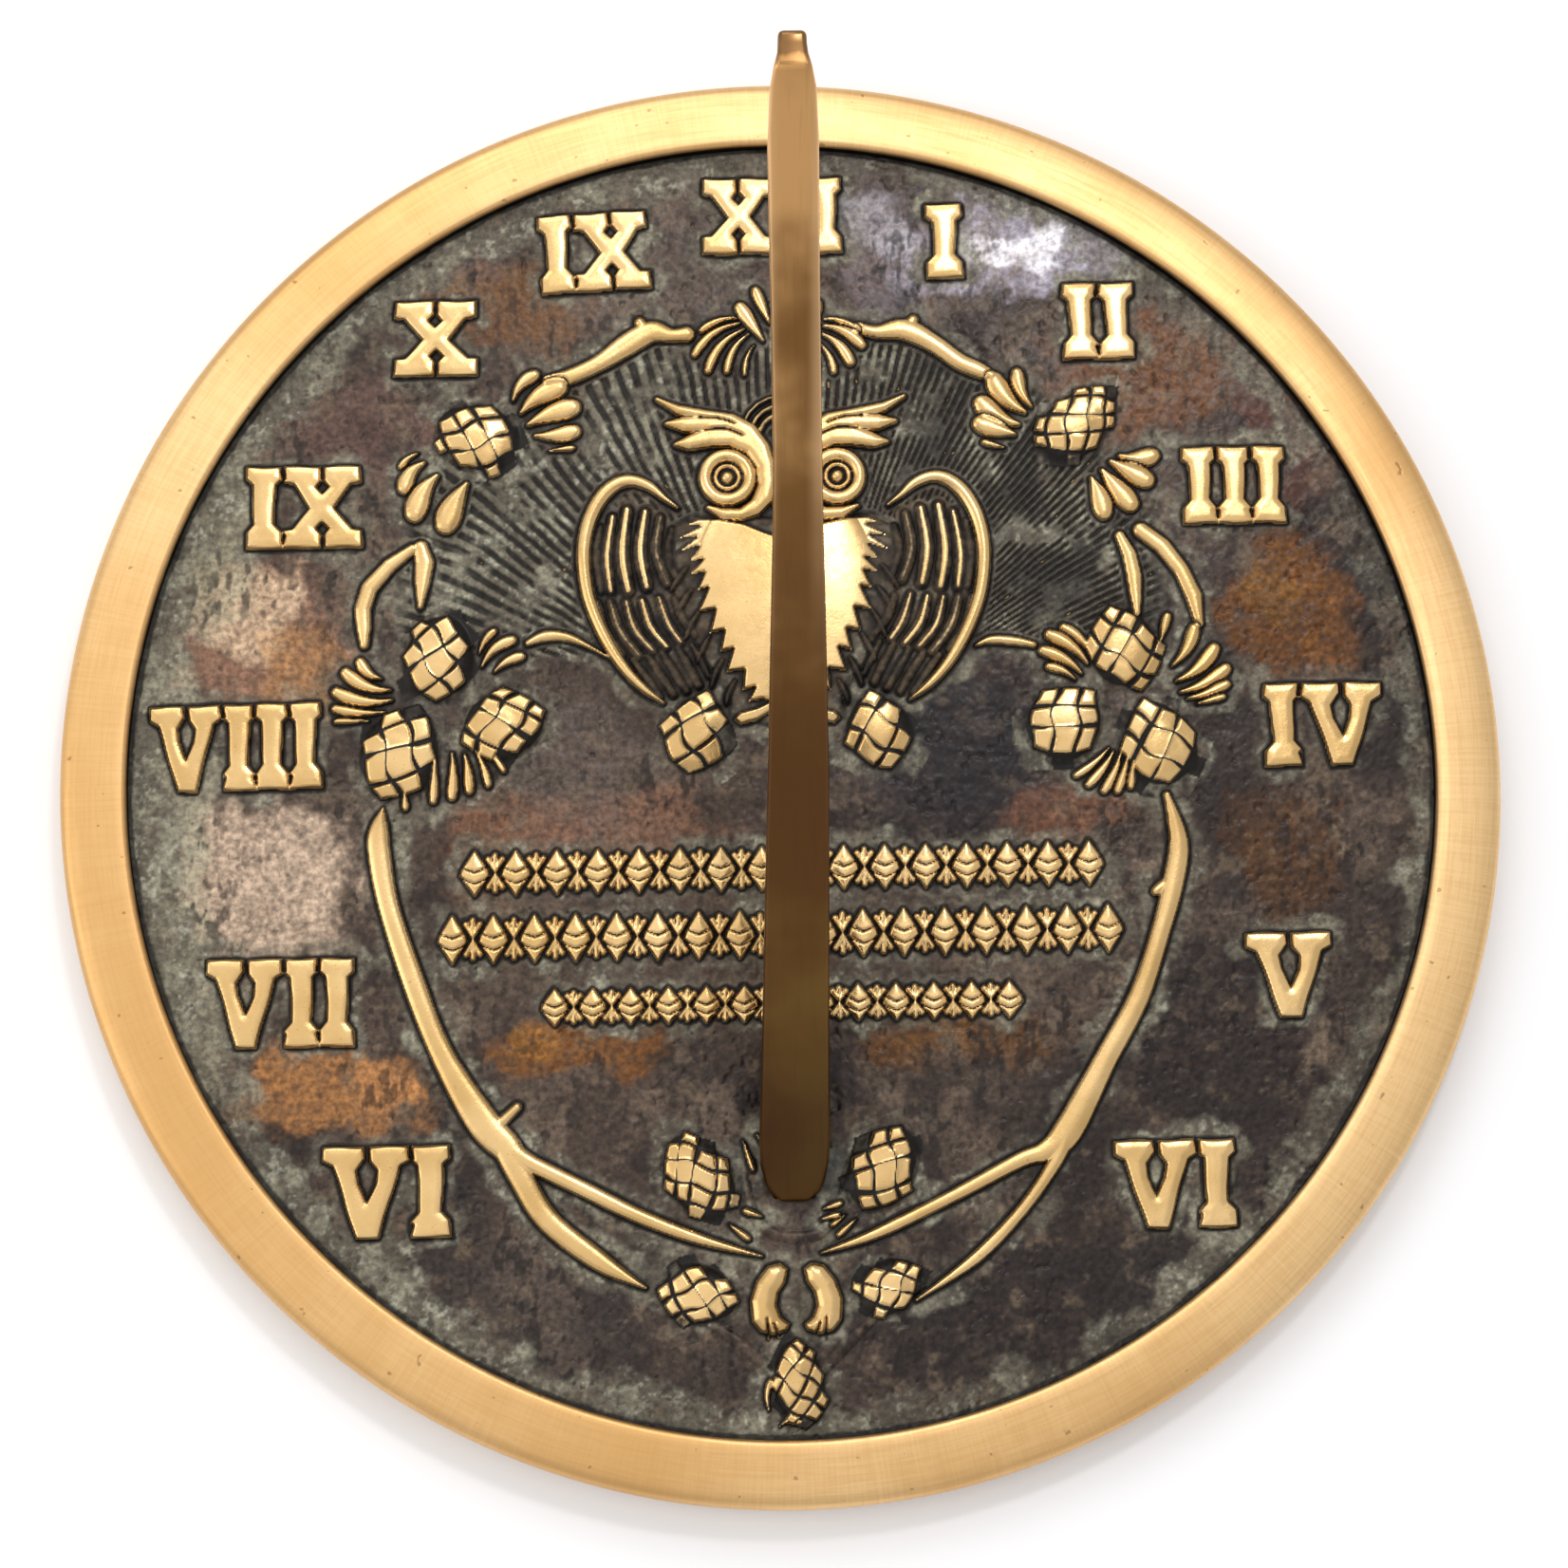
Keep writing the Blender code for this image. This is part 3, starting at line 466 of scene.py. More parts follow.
# cones: centre, length, width, turn in degrees, how many scales fit, worn patch (along, across)
cones = {
    "rise": 2.2, "rimRise": 0.55, "taper": 0.14, "skirt": 0.86,
    "places": [
        (-53.5, 62.5, 15.8, 12.6, 158, 1.55, -0.2, 0.2), (53.8, 63.4, 17.2, 11.0, 42, 1.5, 0.1, 0.0),
        (-60.5, 22.5, 16.0, 12.6, 81, 1.4, -0.1, 0.1), (-67.3, 5.6, 17.0, 14.4, 60, 1.45, -0.1, 0.1),
        (-49.0, 10.2, 15.2, 12.4, 12, 1.45, -0.2, 0.1), (60.7, 22.6, 15.4, 13.0, 100, 1.5, -0.1, 0.0),
        (50.0, 9.0, 15.0, 13.2, 42, 1.45, 0.0, 0.1), (66.4, 5.2, 16.4, 13.6, 105, 1.45, -0.1, -0.1),
        (-15.0, 8.4, 14.0, 12.6, 76, 1.3, 0.2, 0.1), (16.8, 8.4, 13.6, 12.0, 104, 1.3, 0.1, 0.0),
        (-16.2, -69.6, 17.0, 11.2, 122, 1.55, 0.4, 0.3), (15.8, -68.6, 16.6, 11.8, 56, 1.5, 0.1, -0.2),
        (-16.4, -90.0, 14.0, 10.4, -18, 1.45, 0.2, 0.0), (16.6, -89.2, 12.4, 9.4, 26, 1.45, 0.1, 0.0),
        (0.4, -105.2, 15.0, 9.0, 100, 1.4, 0.3, 0.2),
    ],
}


def drawCone(index, x, y, long, wide, degrees, scales, wornAlong, wornAcross):
    where = windowOf(x - long / 2 - 6, x + long / 2 + 6, y - long / 2 - 6, y + long / 2 + 6)
    turn = math.radians(degrees)
    dx, dy = gridX[where] - x, gridY[where] - y
    along = 2 * (dx * math.cos(turn) + dy * math.sin(turn)) / long
    across = 2 * (dy * math.cos(turn) - dx * math.sin(turn)) / wide
    across = across / (1 - cones["taper"] * np.clip(along, -1, 1))
    out = np.hypot(along, across)
    bulge = 0.80 + 0.26 * np.minimum(out, 1.15) ** 2
    wander = 0.10 * np.sin(3.1 * along + 4.7 * across + index)
    stepA, stepC = 0.78 * scales * long / wide, 0.86 * scales
    first = stepA * along * bulge + stepC * across * bulge + 0.5 + 0.13 * index + wander
    second = stepA * along * bulge - stepC * across * bulge + 0.5 + wander
    cellA, cellB = np.floor(first), np.floor(second)
    shareA, shareB = first - cellA, second - cellB
    # a scale is kept whole or left out, so the outline follows the scales
    middleA = (cellA + cellB - 0.13 * index) / 2 / stepA
    middleC = (cellA - cellB - 0.13 * index) / 2 / stepC
    centreOut = np.hypot(middleA, middleC)
    wobble = np.sin(cellA * 12.9 + cellB * 78.2 + index)
    size = wide / 2 / scales * (1.05 - 0.25 * np.clip(out, 0, 1))
    worn = ease((0.60 - np.hypot(along - wornAlong, across - wornAcross)) / 0.3)
    border = np.minimum(np.minimum(shareA, 1 - shareA), np.minimum(shareB, 1 - shareB))
    gap = (0.045 + 0.06 * np.clip(out, 0, 1) ** 2 + 0.02 * wobble) * (1 - 0.8 * worn)
    block = (border - gap) * size
    kept = (1.0 + 0.08 * wobble - centreOut) * wide / 2
    inside = np.minimum(block, kept)
    dome = np.clip(1 - (out / 1.12) ** 2, 0, 1) ** 0.5
    tilt = 0.30 * (shareA + shareB - 1) * (1 - 0.8 * worn)
    rise, rimRise = cones["rise"], cones["rimRise"]
    top = rimRise + (rise - rimRise) * dome + tilt * dome + 0.10 * wobble * (1 - worn)
    base = 0.4 * ease((1.04 - out) / 0.2) + (rise - 1.05 + 0.8 * worn) * dome * ease((1.0 - out) / 0.3)
    shape = base + (top - base) * ease((inside + 0.15) / 0.55)
    skirt = (cones["skirt"] - out) * wide / 2
    shine = np.where(kept > 0, 1.0, 0.0) * np.where(out > 0.9, 0.8, 1.0)
    lay(where, inside, shape, shine, 0.32)
    near[where] = np.maximum(near[where], np.minimum(skirt, 0.0))


# needle tufts: root, tip, width, bend
needles = {
    "rise": 1.35, "press": 0.5,
    "fullness": ((0.0, 0.22), (0.25, 0.55), (0.5, 0.84), (0.75, 1.0), (0.9, 0.84)),  # along, share of width
    "strokes": [
        (-46.8, 69.0, -42.2, 73.8, 2.6, 0.15), (-45.4, 66.6, -37.7, 71.4, 4.1, 0.1),
        (-44.2, 64.4, -35.3, 67.7, 4.0, 0.05), (-43.0, 62.4, -35.2, 63.4, 3.2, -0.05),
        (-62.7, 57.8, -66.4, 52.6, 3.2, -0.15), (-60.4, 55.4, -64.6, 47.8, 4.4, -0.1),
        (-55.2, 53.8, -59.2, 45.8, 4.9, -0.05), (-63.6, 59.6, -67.2, 56.8, 1.4, -0.1),
        (-40.6, 59.6, -35.8, 60.2, 1.2, 0.0), (45.8, 66.4, 43.4, 73.4, 2.8, 0.1),
        (44.6, 65.4, 38.9, 72.4, 4.1, 0.1), (43.4, 63.2, 36.4, 67.9, 4.1, 0.1),
        (42.6, 61.4, 35.8, 63.7, 3.8, 0.0), (61.2, 57.2, 67.8, 57.4, 3.6, -0.1),
        (59.6, 56.2, 66.6, 52.4, 4.0, 0.0), (58.0, 54.6, 63.4, 47.8, 4.2, 0.0),
        (56.0, 53.2, 58.2, 46.4, 4.0, 0.05), (40.8, 59.0, 36.6, 60.2, 1.3, 0.0),
        (-70.6, 18.9, -74.4, 22.5, 2.3, 0.15), (-69.0, 16.8, -77.4, 20.8, 2.6, 0.12),
        (-68.6, 15.0, -79.4, 17.2, 2.5, 0.1), (-70.0, 12.9, -79.6, 13.9, 1.9, 0.05),
        (-72.6, 11.4, -79.2, 11.4, 1.2, 0.0), (-53.2, 23.2, -50.2, 27.4, 1.6, 0.1),
        (-52.8, 20.8, -46.6, 25.6, 2.2, 0.14), (-50.6, 19.8, -45.2, 22.6, 2.0, 0.1),
        (-61.2, 4.6, -61.6, -3.8, 1.8, 0.0), (-58.2, 5.4, -58.4, -3.2, 2.1, 0.03),
        (-56.0, 5.2, -55.2, -2.0, 2.0, 0.03), (-54.0, 5.6, -51.8, -1.0, 1.6, 0.05),
        (-52.6, 6.4, -48.9, 1.6, 1.3, 0.05), (-66.6, -1.4, -66.4, -4.6, 1.4, 0.0),
        (55.0, 21.4, 49.6, 26.4, 2.3, -0.1), (54.3, 19.6, 46.8, 25.2, 2.6, -0.1),
        (53.2, 17.8, 45.6, 22.2, 2.4, -0.1), (52.0, 16.8, 46.8, 19.2, 1.8, -0.1),
        (67.4, 23.4, 68.9, 28.4, 1.9, 0.0), (69.4, 19.0, 73.6, 26.4, 2.7, -0.1),
        (70.0, 16.2, 77.4, 22.8, 2.9, -0.1), (70.6, 14.2, 79.6, 19.0, 2.7, -0.08),
        (71.8, 13.0, 79.6, 15.9, 2.1, -0.05), (73.4, 12.0, 78.8, 13.4, 1.4, 0.0),
        (57.6, 4.4, 50.9, -0.8, 1.6, 0.05), (58.4, 3.8, 53.2, -2.6, 1.8, 0.05),
        (59.6, 3.4, 56.1, -3.8, 1.9, 0.05), (60.8, 2.8, 58.6, -3.9, 1.8, 0.03),
        (61.8, 2.0, 61.2, -3.1, 1.6, 0.0), (-6.2, 83.5, -13.6, 80.8, 1.5, -0.12),
        (-6.0, 82.6, -14.8, 75.9, 1.8, -0.14), (-5.3, 81.5, -12.2, 72.8, 1.9, -0.14),
        (-4.2, 80.8, -8.6, 72.8, 1.6, -0.14), (-2.0, 79.3, -6.4, 86.2, 2.8, 0.0),
        (-0.8, 82.6, -3.4, 89.2, 2.2, 0.0), (-3.6, 78.6, -5.4, 72.6, 1.1, -0.1),
        (9.0, 83.2, 15.4, 80.4, 1.6, 0.12), (8.8, 81.9, 16.2, 77.6, 2.3, 0.12),
        (8.6, 80.4, 13.8, 74.4, 2.3, 0.12), (8.2, 78.6, 10.6, 72.8, 1.5, 0.1),
        (6.6, 80.6, 8.0, 86.6, 2.4, 0.0), (4.0, 80.6, 5.0, 88.4, 2.2, 0.0),
        (-6.0, -62.6, -3.0, -66.4, 1.2, 0.0), (-8.4, -63.6, -6.6, -69.0, 1.1, 0.0),
        (-11.0, -78.0, -7.4, -80.8, 1.2, 0.0), (11.0, -77.4, 7.6, -80.4, 1.2, 0.0),
        (9.2, -76.6, 6.6, -78.6, 1.0, 0.0), (5.4, -75.6, 8.6, -74.6, 1.2, 0.0),
        (4.8, -77.4, 8.2, -76.6, 1.2, 0.0), (-5.2, -76.8, -8.6, -75.6, 1.2, 0.0),
        (-4.8, -110.0, -4.2, -104.4, 1.2, 0.1), (-3.0, -112.6, 0.6, -112.2, 1.2, 0.2),
    ],
}


def drawNeedles():
    for x, y, tipX, tipY, wide, bend in needles["strokes"]:
        root, tip = np.array((x, y)), np.array((tipX, tipY))
        along = tip - root
        side = np.array((-along[1], along[0])) * bend
        path = [
            (*(root + along * share + side * 4 * share * (1 - share)), wide * full)
            for share, full in needles["fullness"]
        ]
        where = around(path)
        inside, half = strokeOf(curveThrough(path, 3), gridX[where], gridY[where])
        # each needle presses a dark line into the one under it
        edge = ease(1 - np.abs(inside + 0.15) / 0.3)
        height[where] = height[where] - needles["press"] * edge * (height[where] > 0.2)
        polish[where] = polish[where] * (1 - edge)
        lay(where, inside, domed(inside, half, needles["rise"] * (0.75 + 0.1 * wide), 0.34), 1.0, 0.3)


# owl, drawn from its left half about its own axis
owl = {
    "axis": 0.9,
    "brow": [
        (-21.2, 68.7), (-17.4, 67.3), (-12.4, 66.3), (-7.6, 65.5), (-4.0, 63.5), (-1.6, 60.0), (-0.6, 56.4),
        (-0.5, 53.0), (-1.2, 50.0), (-3.6, 47.6), (-6.6, 46.6), (-9.6, 46.9), (-12.4, 48.8), (-9.6, 48.2),
        (-6.6, 48.2), (-4.4, 49.8), (-3.2, 52.6), (-3.4, 56.0), (-5.2, 58.8), (-8.2, 60.2), (-11.6, 60.2),
        (-15.6, 59.6), (-18.0, 60.4), (-15.4, 61.7), (-12.6, 62.9), (-16.4, 62.9), (-19.6, 64.2),
        (-16.6, 65.0), (-13.6, 65.2), (-17.6, 66.2),
    ],
    "browLines": [
        [(-12.6, 62.9, 0.3), (-9.0, 63.0, 0.4), (-6.0, 61.8, 0.3)],
        [(-13.6, 65.2, 0.3), (-10.0, 64.9, 0.35), (-7.4, 64.0, 0.2)],
    ],
    "browRise": 2.0, "wingRise": 2.0, "bodyRise": 0.75, "bodyFeatherRise": 1.5, "beakRise": 2.3,
    "breastRise": (1.0, 1.6),  # at the edge, and added in the middle
    "breastDome": (17.0, 31.0, 24.0),  # half width, middle y, half height
    "eye": (-8.9, 54.2), "eyeRadius": 5.3,
    # rings of an eye: radius, half width, rise, polish, roundness
    "rings": [(4.0, 1.25, 2.1, 1.0, 0.25), (2.08, 0.46, 1.8, 0.75, 0.3), (0.0, 1.2, 1.9, 1.0, 0.28)],
    "crown": ((7.6, 0.8), (5.9, 1.0), (4.2, 1.1)), "crownY": 61.4,
    "wing": [
        (-17.8, 48.8, 0.6), (-20.2, 50.6, 1.3), (-22.6, 52.7, 2.1), (-25.6, 53.9, 2.4), (-28.5, 53.4, 2.7),
        (-31.3, 51.0, 2.9), (-33.4, 47.2, 2.9), (-34.5, 42.7, 2.8), (-34.6, 38.2, 2.7), (-33.9, 33.1, 2.6),
        (-32.4, 28.6, 2.5), (-30.2, 24.0, 2.4), (-27.3, 19.5, 2.1), (-24.0, 16.0, 1.6), (-20.8, 13.6, 0.5),
    ],
    "wingRoot": [(-13.0, 17.0), (-15.0, 30.0), (-18.5, 40.0)],  # inner side of the rough bed of a wing
    # dark body behind the breast, then its gold front with slanting feather tips down the side
    "body": [
        (0.9, 47.0), (-8.0, 47.4), (-15.0, 47.6), (-19.6, 45.4), (-20.4, 40.0), (-19.0, 33.0),
        (-16.2, 26.0), (-12.8, 20.0), (-9.6, 16.0), (-9.0, 11.0), (-4.0, 10.0), (0.9, 9.0),
    ],
    "breastTop": [
        (0.9, 43.0), (-2.4, 44.2), (-6.0, 45.8), (-10.5, 46.8), (-14.0, 46.9), (-17.6, 45.4), (-14.0, 45.4),
        (-18.9, 43.0), (-14.6, 43.5), (-18.8, 40.3), (-14.2, 41.8),
    ],
    "breastSide": [
        (-15.0, 40.6), (-14.5, 36.6), (-12.8, 31.0), (-10.4, 25.2), (-7.6, 19.6), (-4.9, 15.4),
        (-2.6, 13.2),
    ],
    "tips": 9,
    "foot": [
        (-2.2, 13.6), (-4.4, 12.6), (-7.6, 11.8), (-8.6, 10.6), (-7.4, 9.6), (-4.4, 10.2), (-2.0, 11.6),
        (-0.4, 12.6), (0.9, 12.2),
    ],
    "bodyFeathers": [
        (-16.4, 38.0, -17.8, 36.2, -19.2, 34.0, 1.4, 0.2),
        (-15.6, 34.0, -17.0, 32.0, -18.2, 29.4, 1.4, 0.15),
        (-14.4, 30.0, -15.8, 27.6, -16.8, 25.2, 1.4, 0.12),
        (-12.6, 25.6, -13.8, 23.4, -14.8, 21.0, 1.3, 0.1),
        (-10.4, 21.2, -11.6, 19.0, -12.4, 16.6, 1.3, 0.1), (-8.2, 17.4, -9.4, 15.2, -9.8, 13.4, 1.2, 0.1),
    ],
    # feathers: top, middle, tip, width, polish
    "feathers": [
        (-31.6, 45.6, -32.4, 40.0, -31.6, 34.0, 2.0, 0.25),
        (-29.4, 47.4, -30.5, 40.1, -29.9, 34.0, 2.6, 0.7),
        (-26.8, 48.6, -27.8, 40.6, -26.8, 34.0, 3.1, 0.95),
        (-23.6, 48.2, -24.6, 41.0, -23.5, 34.6, 2.9, 0.8),
        (-20.9, 47.2, -21.8, 41.0, -19.9, 35.2, 2.4, 0.45),
        (-18.9, 45.0, -19.6, 40.0, -17.9, 35.6, 1.9, 0.15),
        (-32.2, 32.0, -31.0, 27.2, -28.0, 22.6, 2.0, 0.2),
        (-30.0, 32.0, -28.4, 26.8, -25.0, 22.2, 2.3, 0.5),
        (-27.2, 32.0, -25.8, 27.0, -22.7, 23.2, 2.3, 0.6),
        (-24.4, 32.2, -23.0, 27.4, -20.2, 23.8, 2.3, 0.75),
        (-21.4, 32.6, -19.8, 27.8, -17.7, 24.6, 2.3, 0.6),
        (-18.6, 32.4, -17.0, 28.4, -15.0, 25.8, 2.0, 0.2),
        (-28.4, 21.4, -26.4, 18.4, -24.4, 16.4, 1.6, 0.05),
        (-26.2, 21.6, -23.8, 18.2, -21.6, 14.8, 1.8, 0.15),
        (-23.6, 22.2, -21.2, 18.6, -19.2, 15.2, 1.8, 0.2),
        (-21.0, 22.8, -18.8, 19.0, -16.8, 15.8, 1.8, 0.2),
        (-18.2, 23.6, -16.2, 20.0, -14.6, 16.8, 1.8, 0.15),
        (-15.8, 24.2, -14.0, 21.0, -12.8, 18.4, 1.4, 0.05),
    ],
}


def drawBreast():
    axis = owl["axis"]
    outline = closedHalf(owl["body"], axis)
    where = around(outline)
    inside = insideOf(outline, gridX[where], gridY[where])
    polish[where] = polish[where] * (1 - ease((inside + 0.2) / 0.6))
    raiseBed(where, inside, owl["bodyRise"] * ease((inside + 0.3) / 1.4), -0.45, 0.7)
    for turn in (False, True):
        for x, y, midX, midY, tipX, tipY, wide, shine in owl["bodyFeathers"]:
            path = [(x, y, wide * 0.6), (midX, midY, wide), (tipX, tipY, wide * 0.5)]
            drawStroke(mirrored(path, axis, turn), owl["bodyFeatherRise"], shine, 0.5, 4, 0.3)
    side = curveThrough([(x, y, 0) for x, y in owl["breastSide"]], 12)
    edge = []
    for i in range(owl["tips"]):
        # a tip hanging out and down, then the nick below it
        x, y = side[round(i * (len(side) - 4) / owl["tips"])][:2]
        jut = 1.3 + 0.6 * math.sin(2.4 * i)
        edge += [(x - jut, y - 1.7 - 0.3 * math.sin(3.1 * i)), (x + 1.4, y - 1.2)]
    outline = closedHalf(owl["breastTop"] + edge + owl["foot"], axis)
    where = around(outline)
    inside = insideOf(outline, gridX[where], gridY[where])
    halfWidth, middleY, halfHeight = owl["breastDome"]
    dx, dy = (gridX[where] - axis) / halfWidth, (gridY[where] - middleY) / halfHeight
    low, added = owl["breastRise"]
    dome = low + added * np.clip(1 - dx**2 - dy**2, 0, 1) ** 0.6
    lay(where, inside, dome * ease((inside + 0.15) / 0.6), 1.0, 0.3)


def drawWing(turn):
    axis = owl["axis"]
    bed = mirrored([(x, y) for x, y, wide in owl["wing"]] + owl["wingRoot"], axis, turn)
    where = around(bed)
    inside = insideOf(bed, gridX[where], gridY[where])
    rough = 0.35 + 0.22 * softNoise(1.3, 61, gridX[where], 0.45 * gridY[where])
    raiseBed(where, inside, rough * ease(inside / 1.5), -1.4, 1.0)
    for x, y, midX, midY, tipX, tipY, wide, shine in owl["feathers"]:
        path = mirrored([(x, y, wide * 0.7), (midX, midY, wide), (tipX, tipY, wide * 0.8)], axis, turn)
        drawStroke(path, 0.75 + 0.2 * wide, 0.9 * shine, 0.5, 4, 0.52)
    drawStroke(mirrored(owl["wing"], axis, turn), owl["wingRise"], 1.0, 0.32, 4)


def drawEye(turn):
    axis = owl["axis"]
    (eyeX, eyeY), radius = mirrored([owl["eye"]], axis, turn)[0], owl["eyeRadius"]
    where = windowOf(eyeX - 9, eyeX + 9, eyeY - 9, eyeY + 9)
    out = np.hypot(gridX[where] - eyeX, gridY[where] - eyeY)
    lay(where, radius - out, 0.9 * ease((radius - out) / 0.5), 0.0)
    for middle, half, rise, shine, power in owl["rings"]:
        inside = half - np.abs(out - middle)
        lay(where, inside, domed(inside, half, rise, power), shine, 0.3)
    drawShape(mirrored(owl["brow"], axis, turn), 1.6, owl["browRise"], 0.25, 0.5, 0.3)
    for line in owl["browLines"]:
        carve(mirrored(line, axis, turn), 0.8)


def drawOwl():
    for turn in (False, True):
        drawWing(turn)
    drawBreast()
    for turn in (False, True):
        drawEye(turn)
    axis = owl["axis"]
    for radius, wide in owl["crown"]:
        path = [
            (axis + radius * 0.95 * math.sin(angle), owl["crownY"] + radius * math.cos(angle), wide)
            for angle in np.linspace(-1.2, 1.2, 9)
        ]
        drawStroke(path, 1.0 + 0.1 * (8 - radius), 0.5, 0.5, 1)
    beak = [(axis - 1.9, 49.6), (axis, 50.6), (axis + 1.9, 49.6), (axis + 0.3, 44.8), (axis - 0.3, 44.8)]
    drawShape(beak, 1.2, owl["beakRise"], edge=0.4)


# two bean shapes below the gnomon's foot, given as the right one
beans = {
    "rise": 2.0, "half": 2.2, "nickDepth": 1.1,
    "right": [
        (1.6, -85.8), (3.0, -84.7), (5.2, -85.2), (7.2, -87.7), (8.4, -91.2), (8.1, -94.8), (6.6, -96.6),
        (4.2, -97.2), (2.0, -96.4), (1.5, -95.3), (3.0, -94.0), (3.7, -92.0), (3.3, -89.9), (2.1, -88.2),
    ],
    "axis": 0.3,
    "nicks": [(3.4, -97.6, 4.3, -95.0), (5.2, -97.8, 5.4, -94.2)],
}


def drawBeans():
    for turn in (False, True):
        drawShape(mirrored(beans["right"], beans["axis"], turn), beans["half"], beans["rise"], 0.4)
        for x, y, endX, endY in beans["nicks"]:
            carve(mirrored([(x, y, 0.6), (endX, endY, 0.25)], beans["axis"], turn), beans["nickDepth"])


# friezes: middle y, ends, motif height and count, as a row of small cones with sprigs between
friezes = {
    "rise": 1.35, "sprigRise": 1.2, "cutDepth": 0.6, "plump": 0.33, "cutLifts": (-0.17, 0.09),
    "leaves": ((-0.34, 0.40), (0.34, 0.40), (0.0, 0.50)),  # lean and reach of each leaf of a sprig
    "rows": [(-16.0, -58.0, 57.0, 7.6, 16), (-27.6, -62.0, 60.0, 8.2, 17), (-39.8, -44.0, 42.0, 6.2, 13)],
}


def drawLozenge(x, middle, wide, tall):
    outline = [
        (x, middle - tall / 2), (x + wide, middle - 0.4), (x + wide * 0.9, middle + 0.6),
        (x, middle + tall / 2), (x - wide * 0.9, middle + 0.6), (x - wide, middle - 0.4),
    ]
    where = around(outline, 4.0)
    inside = insideOf(outline, gridX[where], gridY[where]) + 0.35
    lay(where, inside, flatTop(inside, friezes["rise"], 0.6, 0.25), 1.0, 0.3)
    for lift in friezes["cutLifts"]:
        y = middle + tall * lift
        cut = [(x - wide, y + 0.5, 0.22), (x, y - 0.6, 0.34), (x + wide, y + 0.5, 0.22)]
        carve(cut, friezes["cutDepth"], 2)


def drawFriezes():
    for middle, start, end, tall, count in friezes["rows"]:
        pitch = (end - start) / count
        for i in range(count):
            x = start + (i + 0.5) * pitch
            drawLozenge(x, middle, pitch * friezes["plump"], tall)
            if i + 1 == count:
                continue
            foot = x + pitch / 2
            for lean, reach in friezes["leaves"]:
                for up in (1, -1):
                    tip = (foot + lean * pitch * 0.5, middle + up * reach * tall * 0.82, 1.25)
                    drawStroke([(foot, middle + up * 0.3, 0.7), tip], friezes["sprigRise"], 1.0, 0.45, 1)


# cast ground: chisel strokes that fan out behind the owl, then grain, pits and dents
ground = {
    "fanFrom": (0.9, 4.0, 0.34),  # x and y that the strokes come from, y rising by a share of x
    "fanOval": (67, 34, 48),  # half width, middle y, half height
    "fanBottom": 22.6, "fanCount": 236, "fanDepth": 0.42, "pits": 0.20, "dents": 0.10,
}


def drawGround():
    fromX, fromY, rising = ground["fanFrom"]
    angle = np.arctan2(gridY - fromY - rising * gridX, gridX - fromX)
    angle = angle + 0.010 * softNoise(16.0, 3) + 0.0022 * softNoise(3.0, 4)
    halfWidth, middleY, halfHeight = ground["fanOval"]
    region = ease((1.04 - np.hypot(gridX / halfWidth, (gridY - middleY) / halfHeight)) / 0.06)
    region = region * ease((gridY - ground["fanBottom"] - 0.7 * softNoise(5.0, 5)) / 1.0)
    region = region * ease((np.hypot(gridX - fromX, gridY - 40.0) - 15) / 3) * ease((-0.6 - near) / 0.5)
    lines = 0.5 + 0.5 * np.cos(angle * ground["fanCount"] + 2.6 * softNoise(22.0, 6))
    fan = region * ease(0.95 + 0.9 * cloud(5.0, 7, 3)) * ease((lines - 0.30) / 0.45)
    free = ease((-0.3 - near) / 0.6)
    grain = 0.05 * cloud(1.2, 11, 2) + 0.06 * softNoise(3.1, 13) + 0.05 * softNoise(11.0, 14)
    pits = ground["pits"] * ease((cloud(1.6, 15, 2) - 0.55) / 0.3) * ease((softNoise(7.0, 16) + 0.4) / 0.6)
    dents = ground["dents"] * ease((softNoise(2.3, 17) - 0.45) / 0.4)
    return region, fan, free * (grain * (0.6 + 0.4 * (1 - region)) - pits - dents - ground["fanDepth"] * fan)


print("relief: wreath, cones and needles")
drawWreath()
drawNeedles()
for number, cone in enumerate(cones["places"]):
    drawCone(number, *cone)
print("relief: owl, beans, friezes and numerals")
drawOwl()
drawBeans()
drawFriezes()
drawNumerals()

print("relief: cast ground and wear")
fanRegion, fanLines, groundHeight = drawGround()
height += groundHeight
# polished tops aren't dead flat
height += polish * (0.012 * softNoise(2.4, 21) + 0.02 * softNoise(5.0, 22))
out = np.hypot(gridX, gridY)
crevice = np.clip((blurred(height, 0.55) - height) / 0.30, 0, 1)
polish = polish * (1 - 0.92 * ease((crevice - 0.35) / 0.45))
warpX = gridX + 4.5 * cloud(16.0, 51, 3)
warpY = gridY + 4.5 * cloud(16.0, 52, 3)
fleck = cloud(1.3, 53, 2)
crust = cloud(5.0, 54, 4, 0.7)
patch = cloud(15.0, 55, 5, 0.62)
